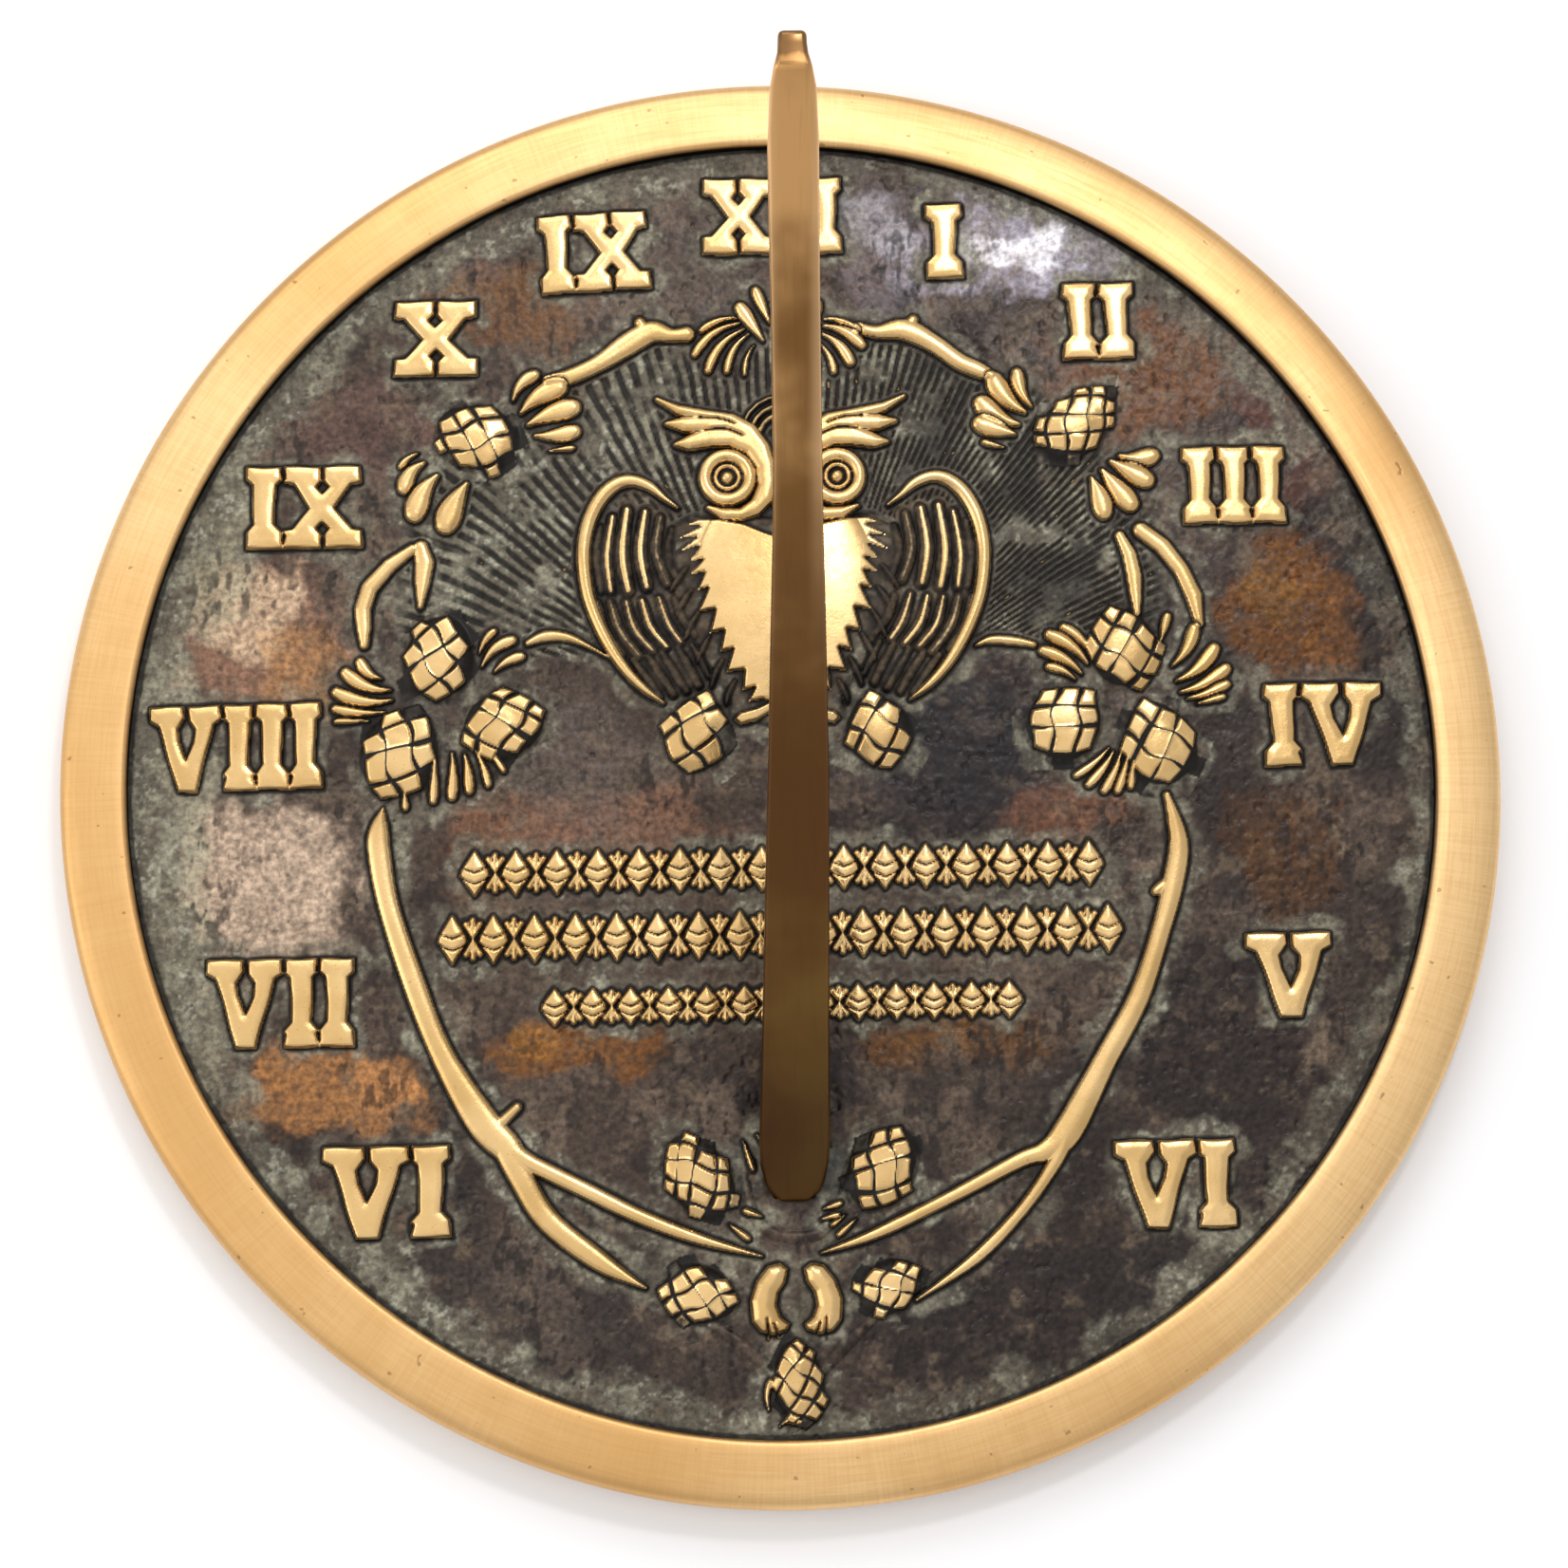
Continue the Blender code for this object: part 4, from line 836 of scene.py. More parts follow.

# patina and a painted highlight: screen colours, and stains as centre, half sizes, colour, strength
patina = {
    "ground": (72, 59, 50), "pale": (104, 88, 74), "dark": (40, 31, 27), "streaks": (30, 23, 20),
    "crust": (116, 100, 80), "lowerRight": (36, 28, 25), "underOwl": (30, 26, 28),
    "verdigris": (106, 101, 87), "chalk": (150, 147, 127), "flecks": (186, 186, 166),
    "greenDark": (62, 54, 46), "fanLines": (30, 27, 24), "fanRight": (54, 52, 47), "creaseShadeAndPatina": (24, 19, 16),
    "outlineShadeAndPatina": (17, 12, 9), "featherBed": (86, 72, 54), "rimFootShadeAndPatina": (15, 11, 9),
}
patina["stains"] = [
    (-92, 27, 15, 14, (142, 106, 84), 0.9), (-90, 32, 8, 8, (206, 178, 146), 0.85),
    (-84, 20, 6, 9, (168, 122, 72), 0.6), (-90, -17, 16, 14, (196, 172, 148), 0.95),
    (-80, -55, 16, 8, (156, 108, 62), 0.95), (-70, -52, 6, 5, (190, 132, 78), 0.7),
    (-48, 88, 14, 8, (112, 76, 42), 0.75), (-34, 74, 9, 5, (122, 84, 44), 0.6),
    (-20, 90, 14, 9, (92, 80, 72), 0.5), (-74, 66, 12, 9, (104, 78, 68), 0.6),
    # the stains at (40, 97) and (42, 97) are a painted highlight: a window's reflection on the glossy patina
    (40, 97, 20, 9, (168, 162, 174), 0.85), (42, 97, 10, 5, (244, 242, 248), 0.97),
    (22, 94, 8, 12, (102, 92, 96), 0.6), (16, 100, 9, 5, (170, 166, 170), 0.6),
    (66, 74, 16, 10, (112, 72, 40), 0.75), (92, 60, 8, 14, (96, 58, 44), 0.7),
    (92, 30, 12, 13, (128, 78, 20), 0.97), (88, 34, 5, 6, (150, 108, 44), 0.35),
    (88, -14, 10, 11, (92, 58, 22), 0.9), (92, 8, 8, 8, (52, 34, 30), 0.7),
    (74, -46, 18, 16, (38, 29, 26), 0.9), (40, -96, 32, 13, (36, 29, 28), 0.85),
    (78, -70, 14, 14, (44, 34, 34), 0.8), (-38, -49, 18, 6, (118, 74, 28), 0.9),
    (-46, -46, 7, 4, (164, 110, 42), 0.6), (32, -47, 15, 6, (124, 80, 28), 0.9),
    (2, -50, 14, 9, (30, 24, 24), 0.85), (28, -14, 22, 10, (34, 27, 25), 0.9),
    (-34, -8, 22, 7, (134, 98, 76), 0.75), (-52, -14, 8, 14, (116, 78, 52), 0.6),
    (30, 6, 17, 12, (34, 30, 34), 0.95), (-34, 4, 12, 10, (98, 86, 78), 0.6),
    (50, -6, 12, 5, (142, 92, 60), 0.7), (-46, -98, 24, 13, (58, 52, 50), 0.6),
    (-60, -78, 10, 12, (44, 38, 36), 0.7), (0, -66, 9, 7, (112, 116, 106), 0.6),
    (-62, 97, 20, 7, (100, 84, 80), 0.5), (-103, -36, 6, 26, (164, 158, 132), 0.75),
    (-105, 8, 6, 24, (164, 158, 134), 0.8), (-97, 42, 7, 14, (158, 152, 126), 0.75),
    (0, -30, 60, 16, (98, 82, 68), 0.55), (-12, -104, 16, 6, (54, 46, 42), 0.5),
    (66, -92, 12, 12, (60, 54, 50), 0.5),
]
tint = np.empty((*gridX.shape, 3))
tint[:] = lin(*patina["ground"])


# lays a colour over the field: real stains, patina and verdigris, and also painted shade and a painted
# highlight
def stain(mask, colour):
    global tint
    mask = np.clip(mask, 0, 1)[..., None]
    colour = patina[colour] if isinstance(colour, str) else colour
    tint = tint * (1 - mask) + np.array(lin(*colour)) * mask


stain(0.8 * ease((patch - 0.05) / 0.6), "pale")
stain(0.85 * ease((-0.05 - patch) / 0.5), "dark")
# real stains, and the painted highlight near the top right
for x, y, halfX, halfY, colour, strength in patina["stains"]:
    away = np.hypot((warpX - x) / halfX, (warpY - y) / halfY) + 0.30 * crust
    stain(strength * ease((1.2 - away) / 0.45) * (0.85 + 0.3 * fleck), colour)
streak = cloud(1.6, 56, 3, 0.6, gridX, gridY * 0.35) + 0.5 * fleck
stain(0.75 * ease((streak - 0.12) / 0.5) * ease(0.5 + patch), "streaks")
stain(0.4 * ease((crust + 0.2 * fleck - 0.3) / 0.5), "crust")
stain(0.5 * ease((gridX - 0.8 * gridY - 6) / 70) * ease(0.75 - crust), "lowerRight")
stain(0.6 * ease(1.25 - np.hypot((gridX - 34) / 26, (gridY - 6) / 15)), "underOwl")

# verdigris gathers by the rim and round whatever stands up from the field
sideways = 0.5 - 0.5 * np.tanh(gridX / 60)
halo = ease((near + 2.9 + 2.2 * cloud(5.0, 23, 3)) / 2.6) * (0.72 + 0.4 * softNoise(13.0, 25))
rimHalo = ease((out - 108.5 + 2.5 * sideways + 4.0 * cloud(7.0, 24, 4)) / 4.0)
rimHalo = rimHalo * (0.5 + 0.5 * sideways + 0.35 * softNoise(18.0, 26))
dark = ease((crust - 0.28 + 0.2 * fleck) / 0.3)
green = np.clip(np.maximum(0.9 * halo, rimHalo), 0, 1) * (1 - 0.6 * dark)
green = np.maximum(green, fanRegion * np.clip(0.95 - 0.0045 * gridX + 0.3 * cloud(6.0, 40, 3), 0, 1))
green = np.clip(green, 0, 0.97)
stain(green * 0.9, "verdigris")
stain(green * 0.75 * ease((cloud(4.4, 43, 4, 0.6) + 0.1) / 0.7), "chalk")
stain(green * 0.45 * ease((cloud(0.9, 44, 2) + 0.8 * cloud(3.0, 47, 2) - 0.6) / 0.4), "flecks")
stain(green * 0.5 * ease((cloud(2.0, 45, 3, 0.6) - 0.3) / 0.5), "greenDark")
stain(0.92 * fanLines, "fanLines")
stain(0.85 * fanRegion * ease((gridX - 4) / 26) * ease(0.7 + cloud(8.0, 46, 3)), "fanRight")
# painted shade and patina: the creases of the relief are darkened
stain(0.7 * ease((crevice - 0.2) / 0.5), "creaseShadeAndPatina")
# painted shade and patina: a near-black line round every raised outline and over its unpolished walls
outlineShadeAndPatina = ease((near + 0.62 + 0.25 * crust) / 0.3) * (1 - polish)
stain(0.97 * outlineShadeAndPatina, "outlineShadeAndPatina")
featherMarks = feathered * (1 - polish) * np.clip(0.55 + 0.5 * cloud(1.6, 48, 2), 0, 1)
stain(featherMarks * ease(0.9 - crevice), "featherBed")
# painted shade and patina: the field goes near-black where it meets the rim's wall
stain(0.8 * ease((out - 114.0 - 0.3 * crust) / 0.35), "rimFootShadeAndPatina")

slopeY, slopeX = np.gradient(height, skin["pitch"])
facing = np.dstack([-slopeX, -slopeY, np.ones_like(slopeX)])
facing /= np.linalg.norm(facing, axis=2, keepdims=True)


def finishMesh(bm, name):
    bmesh.ops.recalc_face_normals(bm, faces=bm.faces)
    mesh = bpy.data.meshes.new(name)
    bm.to_mesh(mesh)
    bm.free()
    piece = bpy.data.objects.new(name, mesh)
    bpy.context.scene.collection.objects.link(piece)
    return piece


def smoothOver(piece, degrees):
    piece.data.shade_smooth()
    piece.data.set_sharp_from_angle(angle=math.radians(degrees))


def keep(piece, node, material):
    piece.data.materials.clear()
    piece.data.materials.append(material)
    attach(piece, "root")
    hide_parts(node)
    return piece


def buildTile(column, row, material):
    # a block of the relief, closed below inside the plate
    span = cells // skin["tiles"]
    size = span * skin["pitch"]
    centreX = (column - (skin["tiles"] - 1) / 2) * size
    centreY = (row - (skin["tiles"] - 1) / 2) * size
    bm = bmesh.new()
    bmesh.ops.create_grid(bm, x_segments=span, y_segments=span, size=size / 2)
    bmesh.ops.translate(bm, verts=bm.verts, vec=(centreX, centreY, 0))
    reach = plate["fieldRadius"] + plate["skinOverlap"]
    outside = [v for v in bm.verts if v.co.x**2 + v.co.y**2 > reach**2]
    bmesh.ops.delete(bm, geom=outside, context="VERTS")
    border = [e for e in bm.edges if e.is_boundary]
    made = bmesh.ops.extrude_edge_only(bm, edges=border)["geom"]
    low = [v for v in made if isinstance(v, bmesh.types.BMVert)]
    bmesh.ops.translate(bm, verts=low, vec=(0, 0, -1))
    bmesh.ops.edgeloop_fill(bm, edges=[e for e in made if isinstance(e, bmesh.types.BMEdge)])
    piece = finishMesh(bm, f"reliefField{column}{row}")
    mesh = piece.data
    count = len(mesh.vertices)
    spots = np.empty(count * 3, np.float32)
    mesh.vertices.foreach_get("co", spots)
    spots = spots.reshape(-1, 3)
    upper = spots[:, 2] > -0.5
    i = np.clip(np.round(spots[:, 0] / skin["pitch"] + cells / 2).astype(int), 0, cells)
    j = np.clip(np.round(spots[:, 1] / skin["pitch"] + cells / 2).astype(int), 0, cells)
    spots[:, 2] = np.where(upper, plate["fieldTop"] + height[j, i], plate["skinBottom"])
    mesh.vertices.foreach_set("co", (spots * mm).astype(np.float32).ravel())
    for name, values in (("polish", polish), ("verdigris", green)):
        mesh.attributes.new(name, "FLOAT", "POINT").data.foreach_set("value", values[j, i].astype(np.float32))
    colour = np.ones((count, 4), np.float32)
    colour[:, :3] = tint[j, i]
    mesh.attributes.new("tint", "FLOAT_COLOR", "POINT").data.foreach_set("color", colour.ravel())
    mesh.shade_smooth()
    normals = np.where(upper[:, None], facing[j, i], 0.0)
    mesh.normals_split_custom_set_from_vertices(normals.tolist())
    mesh.update()
    return keep(piece, "dial_plate", material)


# brass finishes, painted shade, painted reflection and a painted highlight as screen colours; pairs run from
# one to the other
brass = {
    "reliefGold": ((208, 170, 110), (232, 196, 138)), "reliefRub": (168, 120, 64),
    "rimGold": ((214, 168, 108), (238, 200, 144)), "rimBrushed": (200, 154, 94), "rimPits": (120, 84, 44),
    "rimWallShadeAndPatina": (22, 16, 12), "castBack": ((112, 86, 52), (150, 122, 78)),
    "gnomonLowReflection": ((96, 62, 26), (116, 86, 38)), "gnomonHighReflection": ((132, 92, 46), (214, 162, 102)),
    "gnomonStreaks": (70, 48, 24), "gnomonFootShade": (52, 28, 8), "gnomonEdgeHighlight": (232, 188, 136),
    "gnomonTip": (58, 34, 18), "fixing": ((206, 166, 96), (140, 104, 56)),
}


def ranging(paint, share, name):
    # a colour that goes from the first of a pair to the second
    first, second = brass[name]
    return paint.blend(share, lin(*first), lin(*second))


def makeReliefPaint():
    paint = Paint("patinated relief brass with painted light", Specular_IOR_Level=0.22, Coat_Roughness=0.22, Coat_IOR=1.45)
    worn = paint.attribute("polish")
    # the tint holds the patina, and also painted shade and a painted highlight
    tinted = paint.attribute("tint", "Color")
    verdigris = paint.attribute("verdigris")
    fine = paint.noise(900.0, 4.0)
    tiny = paint.noise(2600.0, 2.0)
    broad = paint.noise(60.0, 4.0)
    speckle = paint.blend(fine.between(0.3, 0.72), (0.62, 0.60, 0.60), (1.35, 1.32, 1.28))
    dusty = paint.blend(1.0, tinted, speckle, "MULTIPLY")
    gold = ranging(paint, broad.between(0.3, 0.7), "reliefGold")
    gold = paint.blend((tiny * 0.6 + fine * 0.5).between(0.64, 0.84), gold, lin(*brass["reliefRub"]))
    share = (worn + (fine - 0.5) * 0.3).between(0.32, 0.62)
    crusty = verdigris * (1.0 - share)
    return paint.drive(
        Base_Color=paint.blend(share, dusty, gold),
        Metallic=0.22 + share * 0.78 - crusty * 0.2,
        Roughness=0.44 - share * 0.16 + (fine - 0.5) * 0.2 + crusty * 0.2,
        Coat_Weight=0.10 - share * 0.1 - crusty * 0.08,
        Normal=paint.bump(fine * 0.7 + tiny * 0.5, 0.3),
    )


def makeRimPaint():
    paint = Paint("satin rim brass", Metallic=1.0)
    x, y, z = paint.axis("X"), paint.axis("Y"), paint.axis("Z")
    out = (x * x + y * y).power(0.5)
    angle = y.math("ARCTAN2", x)
    rings = paint.node("CombineXYZ", X=angle * 9.0, Y=out * 1900.0, Z=z * 1400.0)
    across = paint.node("CombineXYZ", X=angle * 260.0, Y=out * 90.0, Z=z * 60.0)
    brushed = paint.noise(1.0, 4.0, rings, 0.7)
    cross = paint.noise(1.0, 3.0, across, 0.6)
    pits = paint.noise(520.0, 1.0).between(0.74, 0.78)
    broad = paint.noise(13.0, 4.0)
    gold = ranging(paint, broad.between(0.32, 0.68), "rimGold")
    strokes = (brushed * 0.6 + cross * 0.4).between(0.4, 0.62)
    gold = paint.blend(strokes * 0.35, gold, lin(*brass["rimBrushed"]))
    gold = paint.blend(pits * 0.5, gold, lin(*brass["rimPits"]))
    # the foot of the inner wall is painted black, as painted shade and patina in the corner, and the
    # underside is raw and dull
    inner = (0.1157 - out).between(0.0, 0.0005) * (0.0104 - z).between(0.0, 0.0010)
    under = (0.0016 - z).between(0.0, 0.0014)
    gold = paint.blend(inner, gold, lin(*brass["rimWallShadeAndPatina"]))
    inside = (0.1149 - out).between(0.0, 0.0004)
    castBack = ranging(paint, paint.noise(240.0, 5.0).between(0.35, 0.7), "castBack")
    gold = paint.blend(under.math("MAXIMUM", inside), gold, castBack)
    return paint.drive(
        Base_Color=gold,
        Roughness=0.43 + (brushed - 0.5) * 0.2 + under * 0.15 + inside * 0.12,
        Normal=paint.bump(brushed * 0.6 + cross * 0.25 + paint.noise(800.0) * 0.5 - pits, 0.22),
    )


def makeGnomonPaint():
    paint = Paint("dark gnomon brass", Metallic=0.9, Coat_Weight=0.1, Coat_Roughness=0.2)
    x, y, z = paint.axis("X"), paint.axis("Y"), paint.axis("Z")
    streak = paint.noise(1.0, 4.0, paint.stretched((900.0, 60.0, 60.0)), 0.6)
    cloudy = paint.noise(22.0, 4.0)
    # painted reflection and shade: the gnomon is coloured lighter towards its top and darker at its foot
    low = ranging(paint, cloudy.between(0.38, 0.64), "gnomonLowReflection")
    high = ranging(paint, cloudy.between(0.40, 0.60), "gnomonHighReflection")
    paintedReflectionUp = (z + (cloudy - 0.5) * 0.04).between(0.058, 0.104)
    colour = paint.blend(paintedReflectionUp, low, high)
    colour = paint.blend(streak.between(0.45, 0.75) * 0.15, colour, lin(*brass["gnomonStreaks"]))
    colour = paint.blend((0.042 - z).between(0.0, 0.026) * 0.55, colour, lin(*brass["gnomonFootShade"]))
    # painted highlight: a light band along the gnomon's sides near its top
    edge = x.math("ABSOLUTE").between(0.0018, 0.0042) * (z + (cloudy - 0.5) * 0.05).between(0.070, 0.105)
    colour = paint.blend(edge * 0.55, colour, lin(*brass["gnomonEdgeHighlight"]))
    tip = (y + (paint.noise(300.0) - 0.5) * 0.006).between(0.0845, 0.0862)
    colour = paint.blend(tip * 0.6, colour, lin(*brass["gnomonTip"]))
    return paint.drive(
        Base_Color=colour,
        Roughness=0.30 + (streak - 0.5) * 0.12 + (cloudy - 0.5) * 0.12,
        Normal=paint.bump(streak * 0.7 + paint.noise(500.0) * 0.4, 0.12),
    )


def makeFixingPaint():
    paint = Paint("fixing brass", Metallic=1.0)
    grime = paint.noise(700.0, 4.0)
    colour = ranging(paint, grime.between(0.4, 0.7), "fixing")
    return paint.drive(Base_Color=colour, Roughness=0.34 + (grime - 0.5) * 0.3)


# plate body: rim, back and seat, turned about the middle, as (radius, z)
body = {
    "steps": 256,
    "profile": [
        (0.0, 7.2), (60.0, 7.2), (114.6, 7.2), (114.98, 7.5), (115.02, 10.0), (115.14, 10.55),
        (115.45, 10.93), (116.0, 11.09), (117.5, 11.07), (119.5, 10.99), (121.5, 10.87), (123.4, 10.68),
        (124.8, 10.46), (125.6, 10.2), (126.2, 9.72), (126.6, 9.0), (126.85, 7.9), (126.95, 6.0),
        (126.98, 3.9), (126.7, 2.1), (126.0, 1.15), (124.9, 0.5), (123.6, 0.12), (122.8, 0.0), (116.0, 0.0),
        (115.5, 0.12), (115.25, 0.5), (114.95, 3.4), (114.5, 3.8), (60.0, 3.8), (0.0, 3.8),
    ],
    # holes as radius, bottom and top
    "bosses": 3, "bossCircle": 78.0, "bossHole": (2.1, 2.0, 5.5), "bossSteps": 48,
    "bossProfile": [
        (2.1, 5.0), (2.1, 0.35), (2.45, 0.0), (7.5, 0.0), (7.95, 0.4), (8.05, 3.3), (8.5, 3.75), (8.5, 5.0),
    ],
    "screws": (-63.5, -50.0), "spotFace": (5.5, 2.0, 5.0), "smoothUnder": 42,
}


def spun(name, profile, steps, closed=False):
    bm = bmesh.new()
    verts = [bm.verts.new((r * mm, 0, z * mm)) for r, z in profile]
    edges = [bm.edges.new(pair) for pair in zip(verts[:-1], verts[1:])]
    if closed:
        edges.append(bm.edges.new((verts[-1], verts[0])))
    bmesh.ops.spin(
        bm, geom=verts + edges, cent=(0, 0, 0), axis=(0, 0, 1), angle=2 * math.pi, steps=steps, use_merge=True
    )
    bmesh.ops.remove_doubles(bm, verts=bm.verts, dist=0.001 * mm)  # the profile's ends meet on the axis
    return finishMesh(bm, name)


def drum(bm, radius, bottom, top, x, y, segments=48):
    place = Matrix.Translation((x * mm, y * mm, (bottom + top) / 2 * mm))
    wide, tall = radius * mm, (top - bottom) * mm
    bmesh.ops.create_cone(
        bm, cap_ends=True, segments=segments, radius1=wide, radius2=wide, depth=tall, matrix=place
    )


def applied(piece, kind, **settings):
    modifier = piece.modifiers.new(kind, kind)
    for key, value in settings.items():
        setattr(modifier, key, value)
    with bpy.context.temp_override(object=piece, active_object=piece, selected_objects=[piece]):
        bpy.ops.object.modifier_apply(modifier=modifier.name)


def bossPlaces():
    for i in range(body["bosses"]):
        angle = math.pi / 2 + 2 * math.pi * i / body["bosses"]
        yield body["bossCircle"] * math.cos(angle), body["bossCircle"] * math.sin(angle)


def buildBody(material):
    piece = spun("plateBody", body["profile"], body["steps"])
    bm = bmesh.new()
    for x, y in bossPlaces():
        drum(bm, *body["bossHole"], x, y)
    for y in body["screws"]:
        drum(bm, *body["spotFace"], 0, y)
    cutter = finishMesh(bm, "cutter")
    applied(piece, "BOOLEAN", operation="DIFFERENCE", solver="EXACT", object=cutter)
    bpy.data.objects.remove(cutter)
    smoothOver(piece, body["smoothUnder"])
    keep(piece, "dial_plate", material)
    for i, (x, y) in enumerate(bossPlaces()):
        boss = spun(f"boss{i}", body["bossProfile"], body["bossSteps"], True)
        boss.data.transform(Matrix.Translation((x * mm, y * mm, 0)))
        smoothOver(boss, body["smoothUnder"])
        keep(boss, "dial_plate", material)


# gnomon: a style bar on a tapering web, in mm; widths and bow (to the east) go by distance from the foot
gnomon = {
    "slope": math.radians(40.0), "foot": -74.0, "run": 161.5, "base": 8.1, "lift": 0.8,
    "barWidths": [
        (-0.6, 4.6), (0.1, 6.4), (1.3, 8.6), (3.0, 10.4), (6.0, 11.7), (10.0, 12.2), (28.0, 11.3),
        (54.0, 10.4), (66.0, 9.9), (89.0, 8.6), (100.0, 7.9), (111.0, 7.5), (130.0, 7.4), (150.0, 7.5),
        (155.7, 6.9), (158.5, 5.6), (160.2, 4.6), (161.5, 4.3), (165.5, 4.1),
    ],
    "bow": [(-1.0, 0.35), (30.0, 0.6), (70.0, 1.0), (110.0, 0.8), (145.0, 0.1), (165.5, -0.1)],
    "thick": 4.0, "barBevel": 0.8, "smoothUnder": 38,
    "webWidths": [(0.0, 4.6), (3.0, 8.0), (8.0, 9.2), (30.0, 8.8), (80.0, 7.0), (130.0, 5.2), (165.5, 3.6)],
    "webStations": range(4, 160, 12), "webBevel": 0.5, "webTop": 1.4, "webDepths": (6.5, 14.0), "heel": 28.0,
}


def stylePoint(run, depth=0.0):
    slope = gnomon["slope"]
    y = gnomon["foot"] + run + depth * math.sin(slope)
    z = gnomon["base"] + gnomon["lift"] + run * math.tan(slope) - depth * math.cos(slope)
    return y, z


def slab(outline, widths, stations, bevel):
    # a side outline given thickness, cut across at the stations and pulled to width
    bm = bmesh.new()
    face = bm.faces.new([bm.verts.new((-1, y, z)) for y, z in outline])
    made = bmesh.ops.extrude_face_region(bm, geom=[face])["geom"]
    bmesh.ops.translate(bm, verts=[v for v in made if isinstance(v, bmesh.types.BMVert)], vec=(2, 0, 0))
    for y in stations:
        everything = bm.verts[:] + bm.edges[:] + bm.faces[:]
        bmesh.ops.bisect_plane(bm, geom=everything, plane_co=(0, y, 0), plane_no=(0, 1, 0), dist=1e-5)
    runs = [gnomon["foot"] + run for run, wide in widths]
    for v in bm.verts:
        v.co.x *= np.interp(v.co.y, runs, [wide for run, wide in widths]) / 2
        v.co.x += np.interp(v.co.y - gnomon["foot"], *zip(*gnomon["bow"]))
    bmesh.ops.recalc_face_normals(bm, faces=bm.faces)
    sharp = [e for e in bm.edges if len(e.link_faces) == 2 and e.calc_face_angle() > 0.5]
    bmesh.ops.bevel(
        bm, geom=sharp, offset=bevel, offset_type="OFFSET", affect="EDGES", segments=3, profile=0.5,
        material=-1,
    )
    bmesh.ops.scale(bm, vec=(mm, mm, mm), verts=bm.verts)
    return bm


def keepGnomonPiece(name, outline, runs, kind, material):
    # kind is "bar" or "web", which have their own widths and bevels
    stations = [gnomon["foot"] + run for run in runs]
    piece = finishMesh(slab(outline, gnomon[kind + "Widths"], stations, gnomon[kind + "Bevel"]), name)
    smoothOver(piece, gnomon["smoothUnder"])
    keep(piece, "gnomon", material)


def buildGnomon(material):
    foot, base, thick, run = gnomon["foot"], gnomon["base"], gnomon["thick"], gnomon["run"]
    bar = [
        stylePoint(0.0), stylePoint(run - 3.5), stylePoint(run, 3.0), stylePoint(run - 2.0, 3.0 + thick),
        stylePoint(8.0, thick), (foot + 7.0, base), (foot - 0.6, base),
    ]
    keepGnomonPiece("gnomonBar", bar, [run for run, wide in gnomon["barWidths"][1:-1]], "bar", material)

    # the web's lower edge runs from the tip back to the heel, deeper all the way
    atTip, more = gnomon["webDepths"]
    back = [
        stylePoint(share * run, atTip + more * (1 - share) ** 1.6)
        for share in (0.15 + 0.81 * i / 14 for i in range(15))
    ]
    top, heel = gnomon["webTop"], foot + gnomon["heel"]
    web = [
        stylePoint(1.5, top), stylePoint(0.97 * run, top), *back[::-1], (heel, base + 2.6), (heel, base),
        (foot + 1.5, base),
    ]
    keepGnomonPiece("gnomonWeb", web, gnomon["webStations"], "web", material)


print("materials")
reliefPaint = makeReliefPaint()
rimPaint = makeRimPaint()
gnomonPaint = makeGnomonPaint()
fixingPaint = makeFixingPaint()

print("relief tiles")
for column in range(skin["tiles"]):
    for row in range(skin["tiles"]):
        buildTile(column, row, reliefPaint)

print("plate body, bosses and gnomon")
buildBody(rimPaint)
buildGnomon(gnomonPaint)

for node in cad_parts:
    if "screw" in node or "washer" in node:
        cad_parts[node].data.materials.clear()
        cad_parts[node].data.materials.append(fixingPaint)

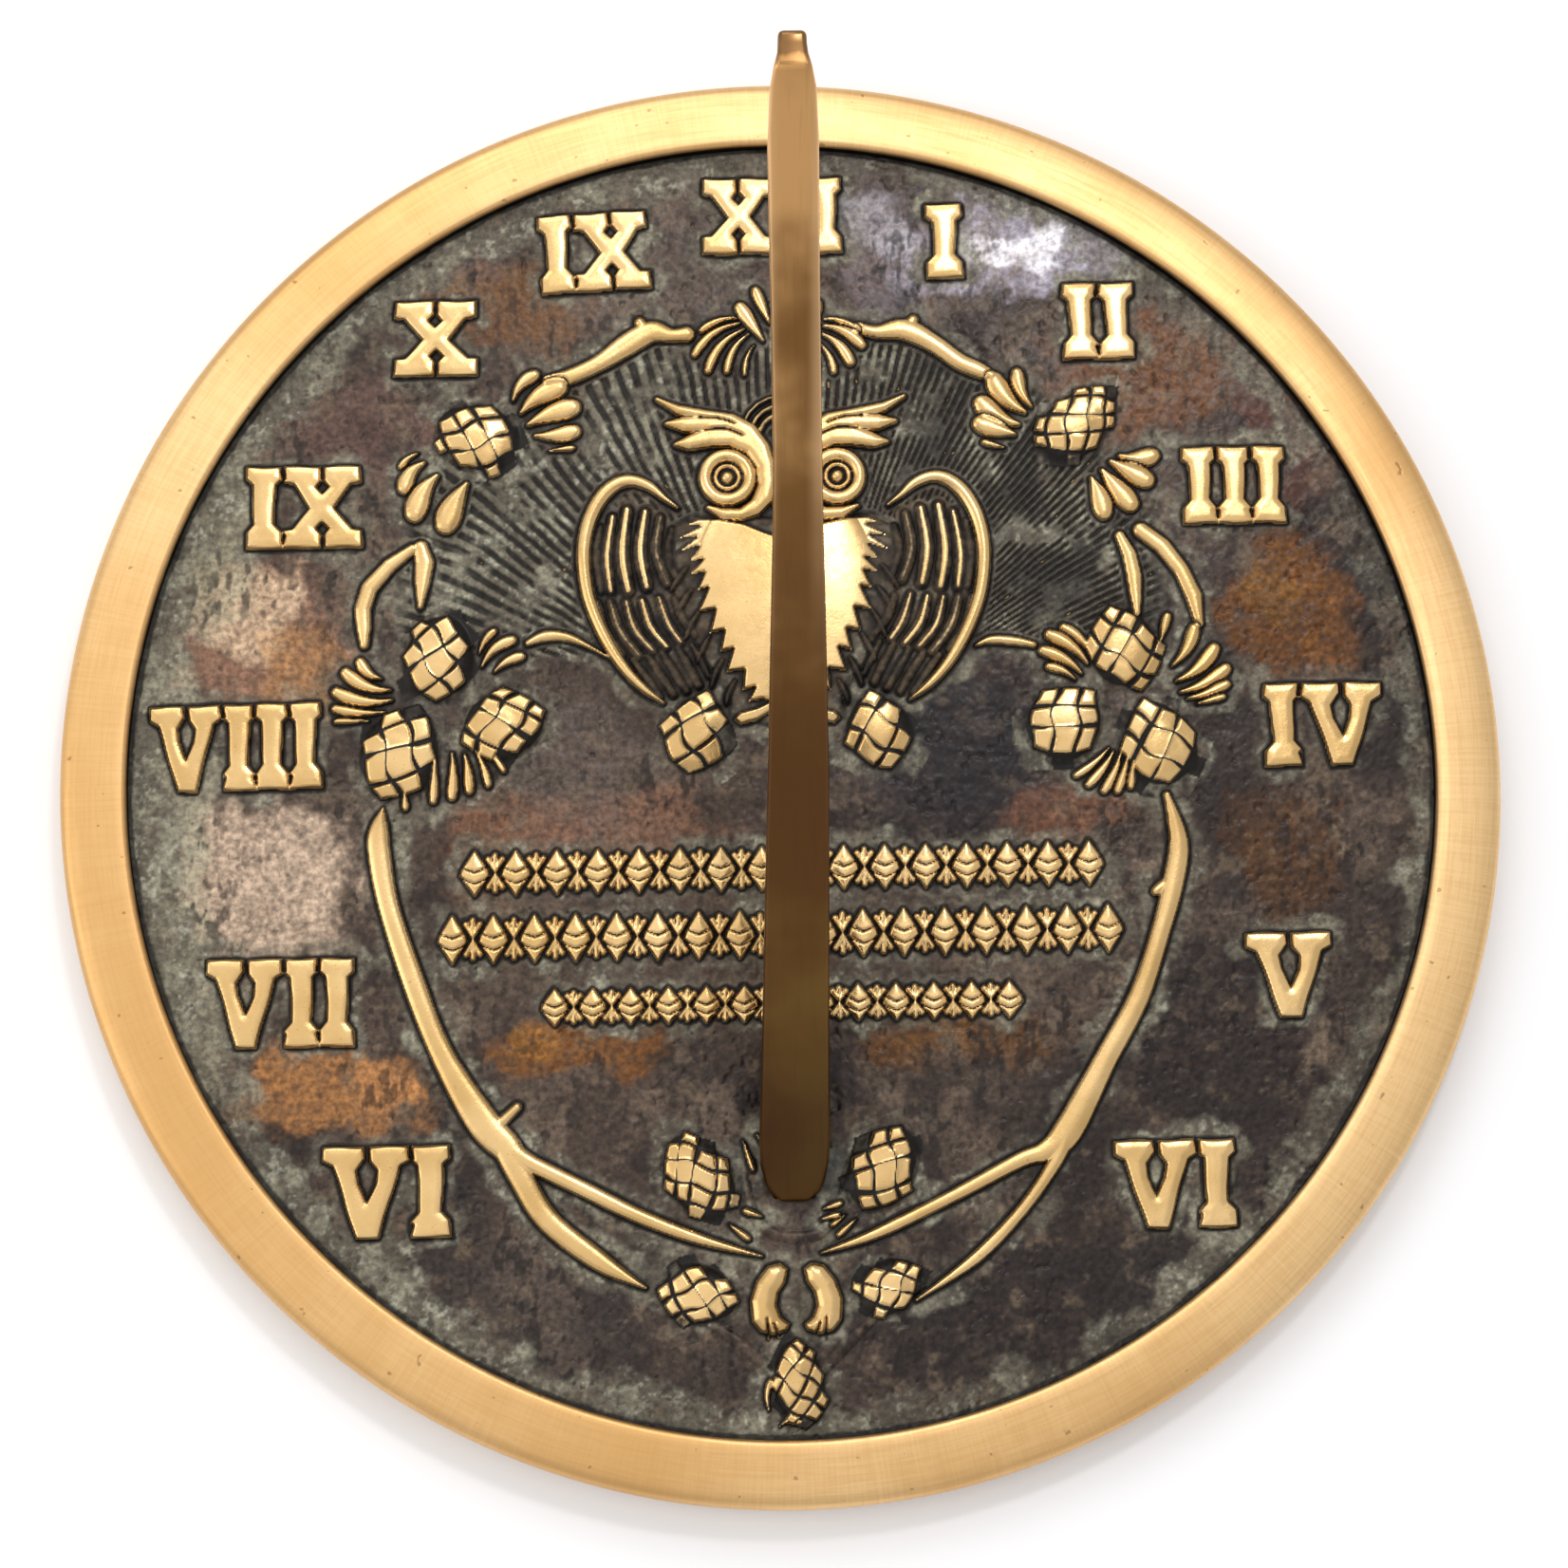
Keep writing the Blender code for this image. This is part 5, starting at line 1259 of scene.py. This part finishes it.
# floor, lights and camera
studio = {
    "floor": 6.0, "drop": 0.0003,  # the floor is just clear of the plate's seat
    # name: place, aim, width, height, watts, colour
    "panels": {
        "overhead": ((-0.5, 0.1, 1.7), (-0.4, 0.1, 0.0), 2.1, 1.8, 4.6, (1.0, 0.98, 0.95)),
        "key": ((-0.3, 1.15, 1.25), (0.0, 0.0, 0.0), 0.9, 0.6, 5.5, (1.0, 0.98, 0.94)),
        "window": ((0.13, 0.33, 0.75), (0.03, 0.09, 0.0), 0.09, 0.08, 1.1, (0.95, 0.95, 1.0)),
        "left": ((-1.3, -0.1, 0.8), (0.0, 0.0, 0.0), 0.8, 1.2, 4.5, (1.0, 0.97, 0.92)),
    },
    "world": 0.74, "sky": (0.96, 0.97, 1.0, 1.0), "floorTones": ((0.93, 0.93, 0.93), (0.95, 0.95, 0.95)),
    "eye": (-0.0187, -0.1074, 0.6897), "ahead": (0.0272, 0.1541, -0.9877), "right": (0.9995, -0.0210, 0.0242),
    "viewAngle": 22.62,
}


def buildStudio():
    bm = bmesh.new()
    bmesh.ops.create_grid(bm, x_segments=1, y_segments=1, size=studio["floor"] / 2)
    bmesh.ops.translate(bm, vec=(0.0, 0.0, -studio["drop"]), verts=bm.verts)
    mesh = bpy.data.meshes.new("floor")
    bm.to_mesh(mesh)
    bm.free()
    floor = bpy.data.objects.new("floor", mesh)
    bpy.context.scene.collection.objects.link(floor)
    pale = Paint("pale floor", Roughness=0.9)
    mesh.materials.append(pale.drive(Base_Color=pale.blend(pale.noise(3.0, 2.0), *studio["floorTones"])))
    for name, (place, aim, wide, tall, watts, colour) in studio["panels"].items():
        light = bpy.data.lights.new(name, "AREA")
        light.shape = "RECTANGLE"
        light.size, light.size_y = wide, tall
        light.energy = watts
        light.color = colour
        lamp = bpy.data.objects.new(name, light)
        lamp.location = place
        lamp.rotation_euler = (Vector(aim) - Vector(place)).to_track_quat("-Z", "Y").to_euler()
        bpy.context.scene.collection.objects.link(lamp)
    world = bpy.data.worlds.new("studio")
    world.use_nodes = True
    background = world.node_tree.nodes["Background"]
    background.inputs["Color"].default_value = studio["sky"]
    background.inputs["Strength"].default_value = studio["world"]
    bpy.context.scene.world = world
    bpy.context.scene.view_settings.view_transform = "Standard"


def buildCamera():
    camera = bpy.data.cameras.new("camera")
    camera.sensor_width = 36.0
    camera.angle = math.radians(studio["viewAngle"])
    camera.clip_start = 0.05
    eye = bpy.data.objects.new("camera", camera)
    right = Vector(studio["right"]).normalized()
    back = -Vector(studio["ahead"]).normalized()
    up = back.cross(right).normalized()
    right = up.cross(back)
    turn = Matrix((right, up, back)).transposed().to_4x4()
    eye.matrix_world = Matrix.Translation(studio["eye"]) @ turn
    bpy.context.scene.collection.objects.link(eye)
    bpy.context.scene.camera = eye


print("studio and camera")
buildStudio()
buildCamera()
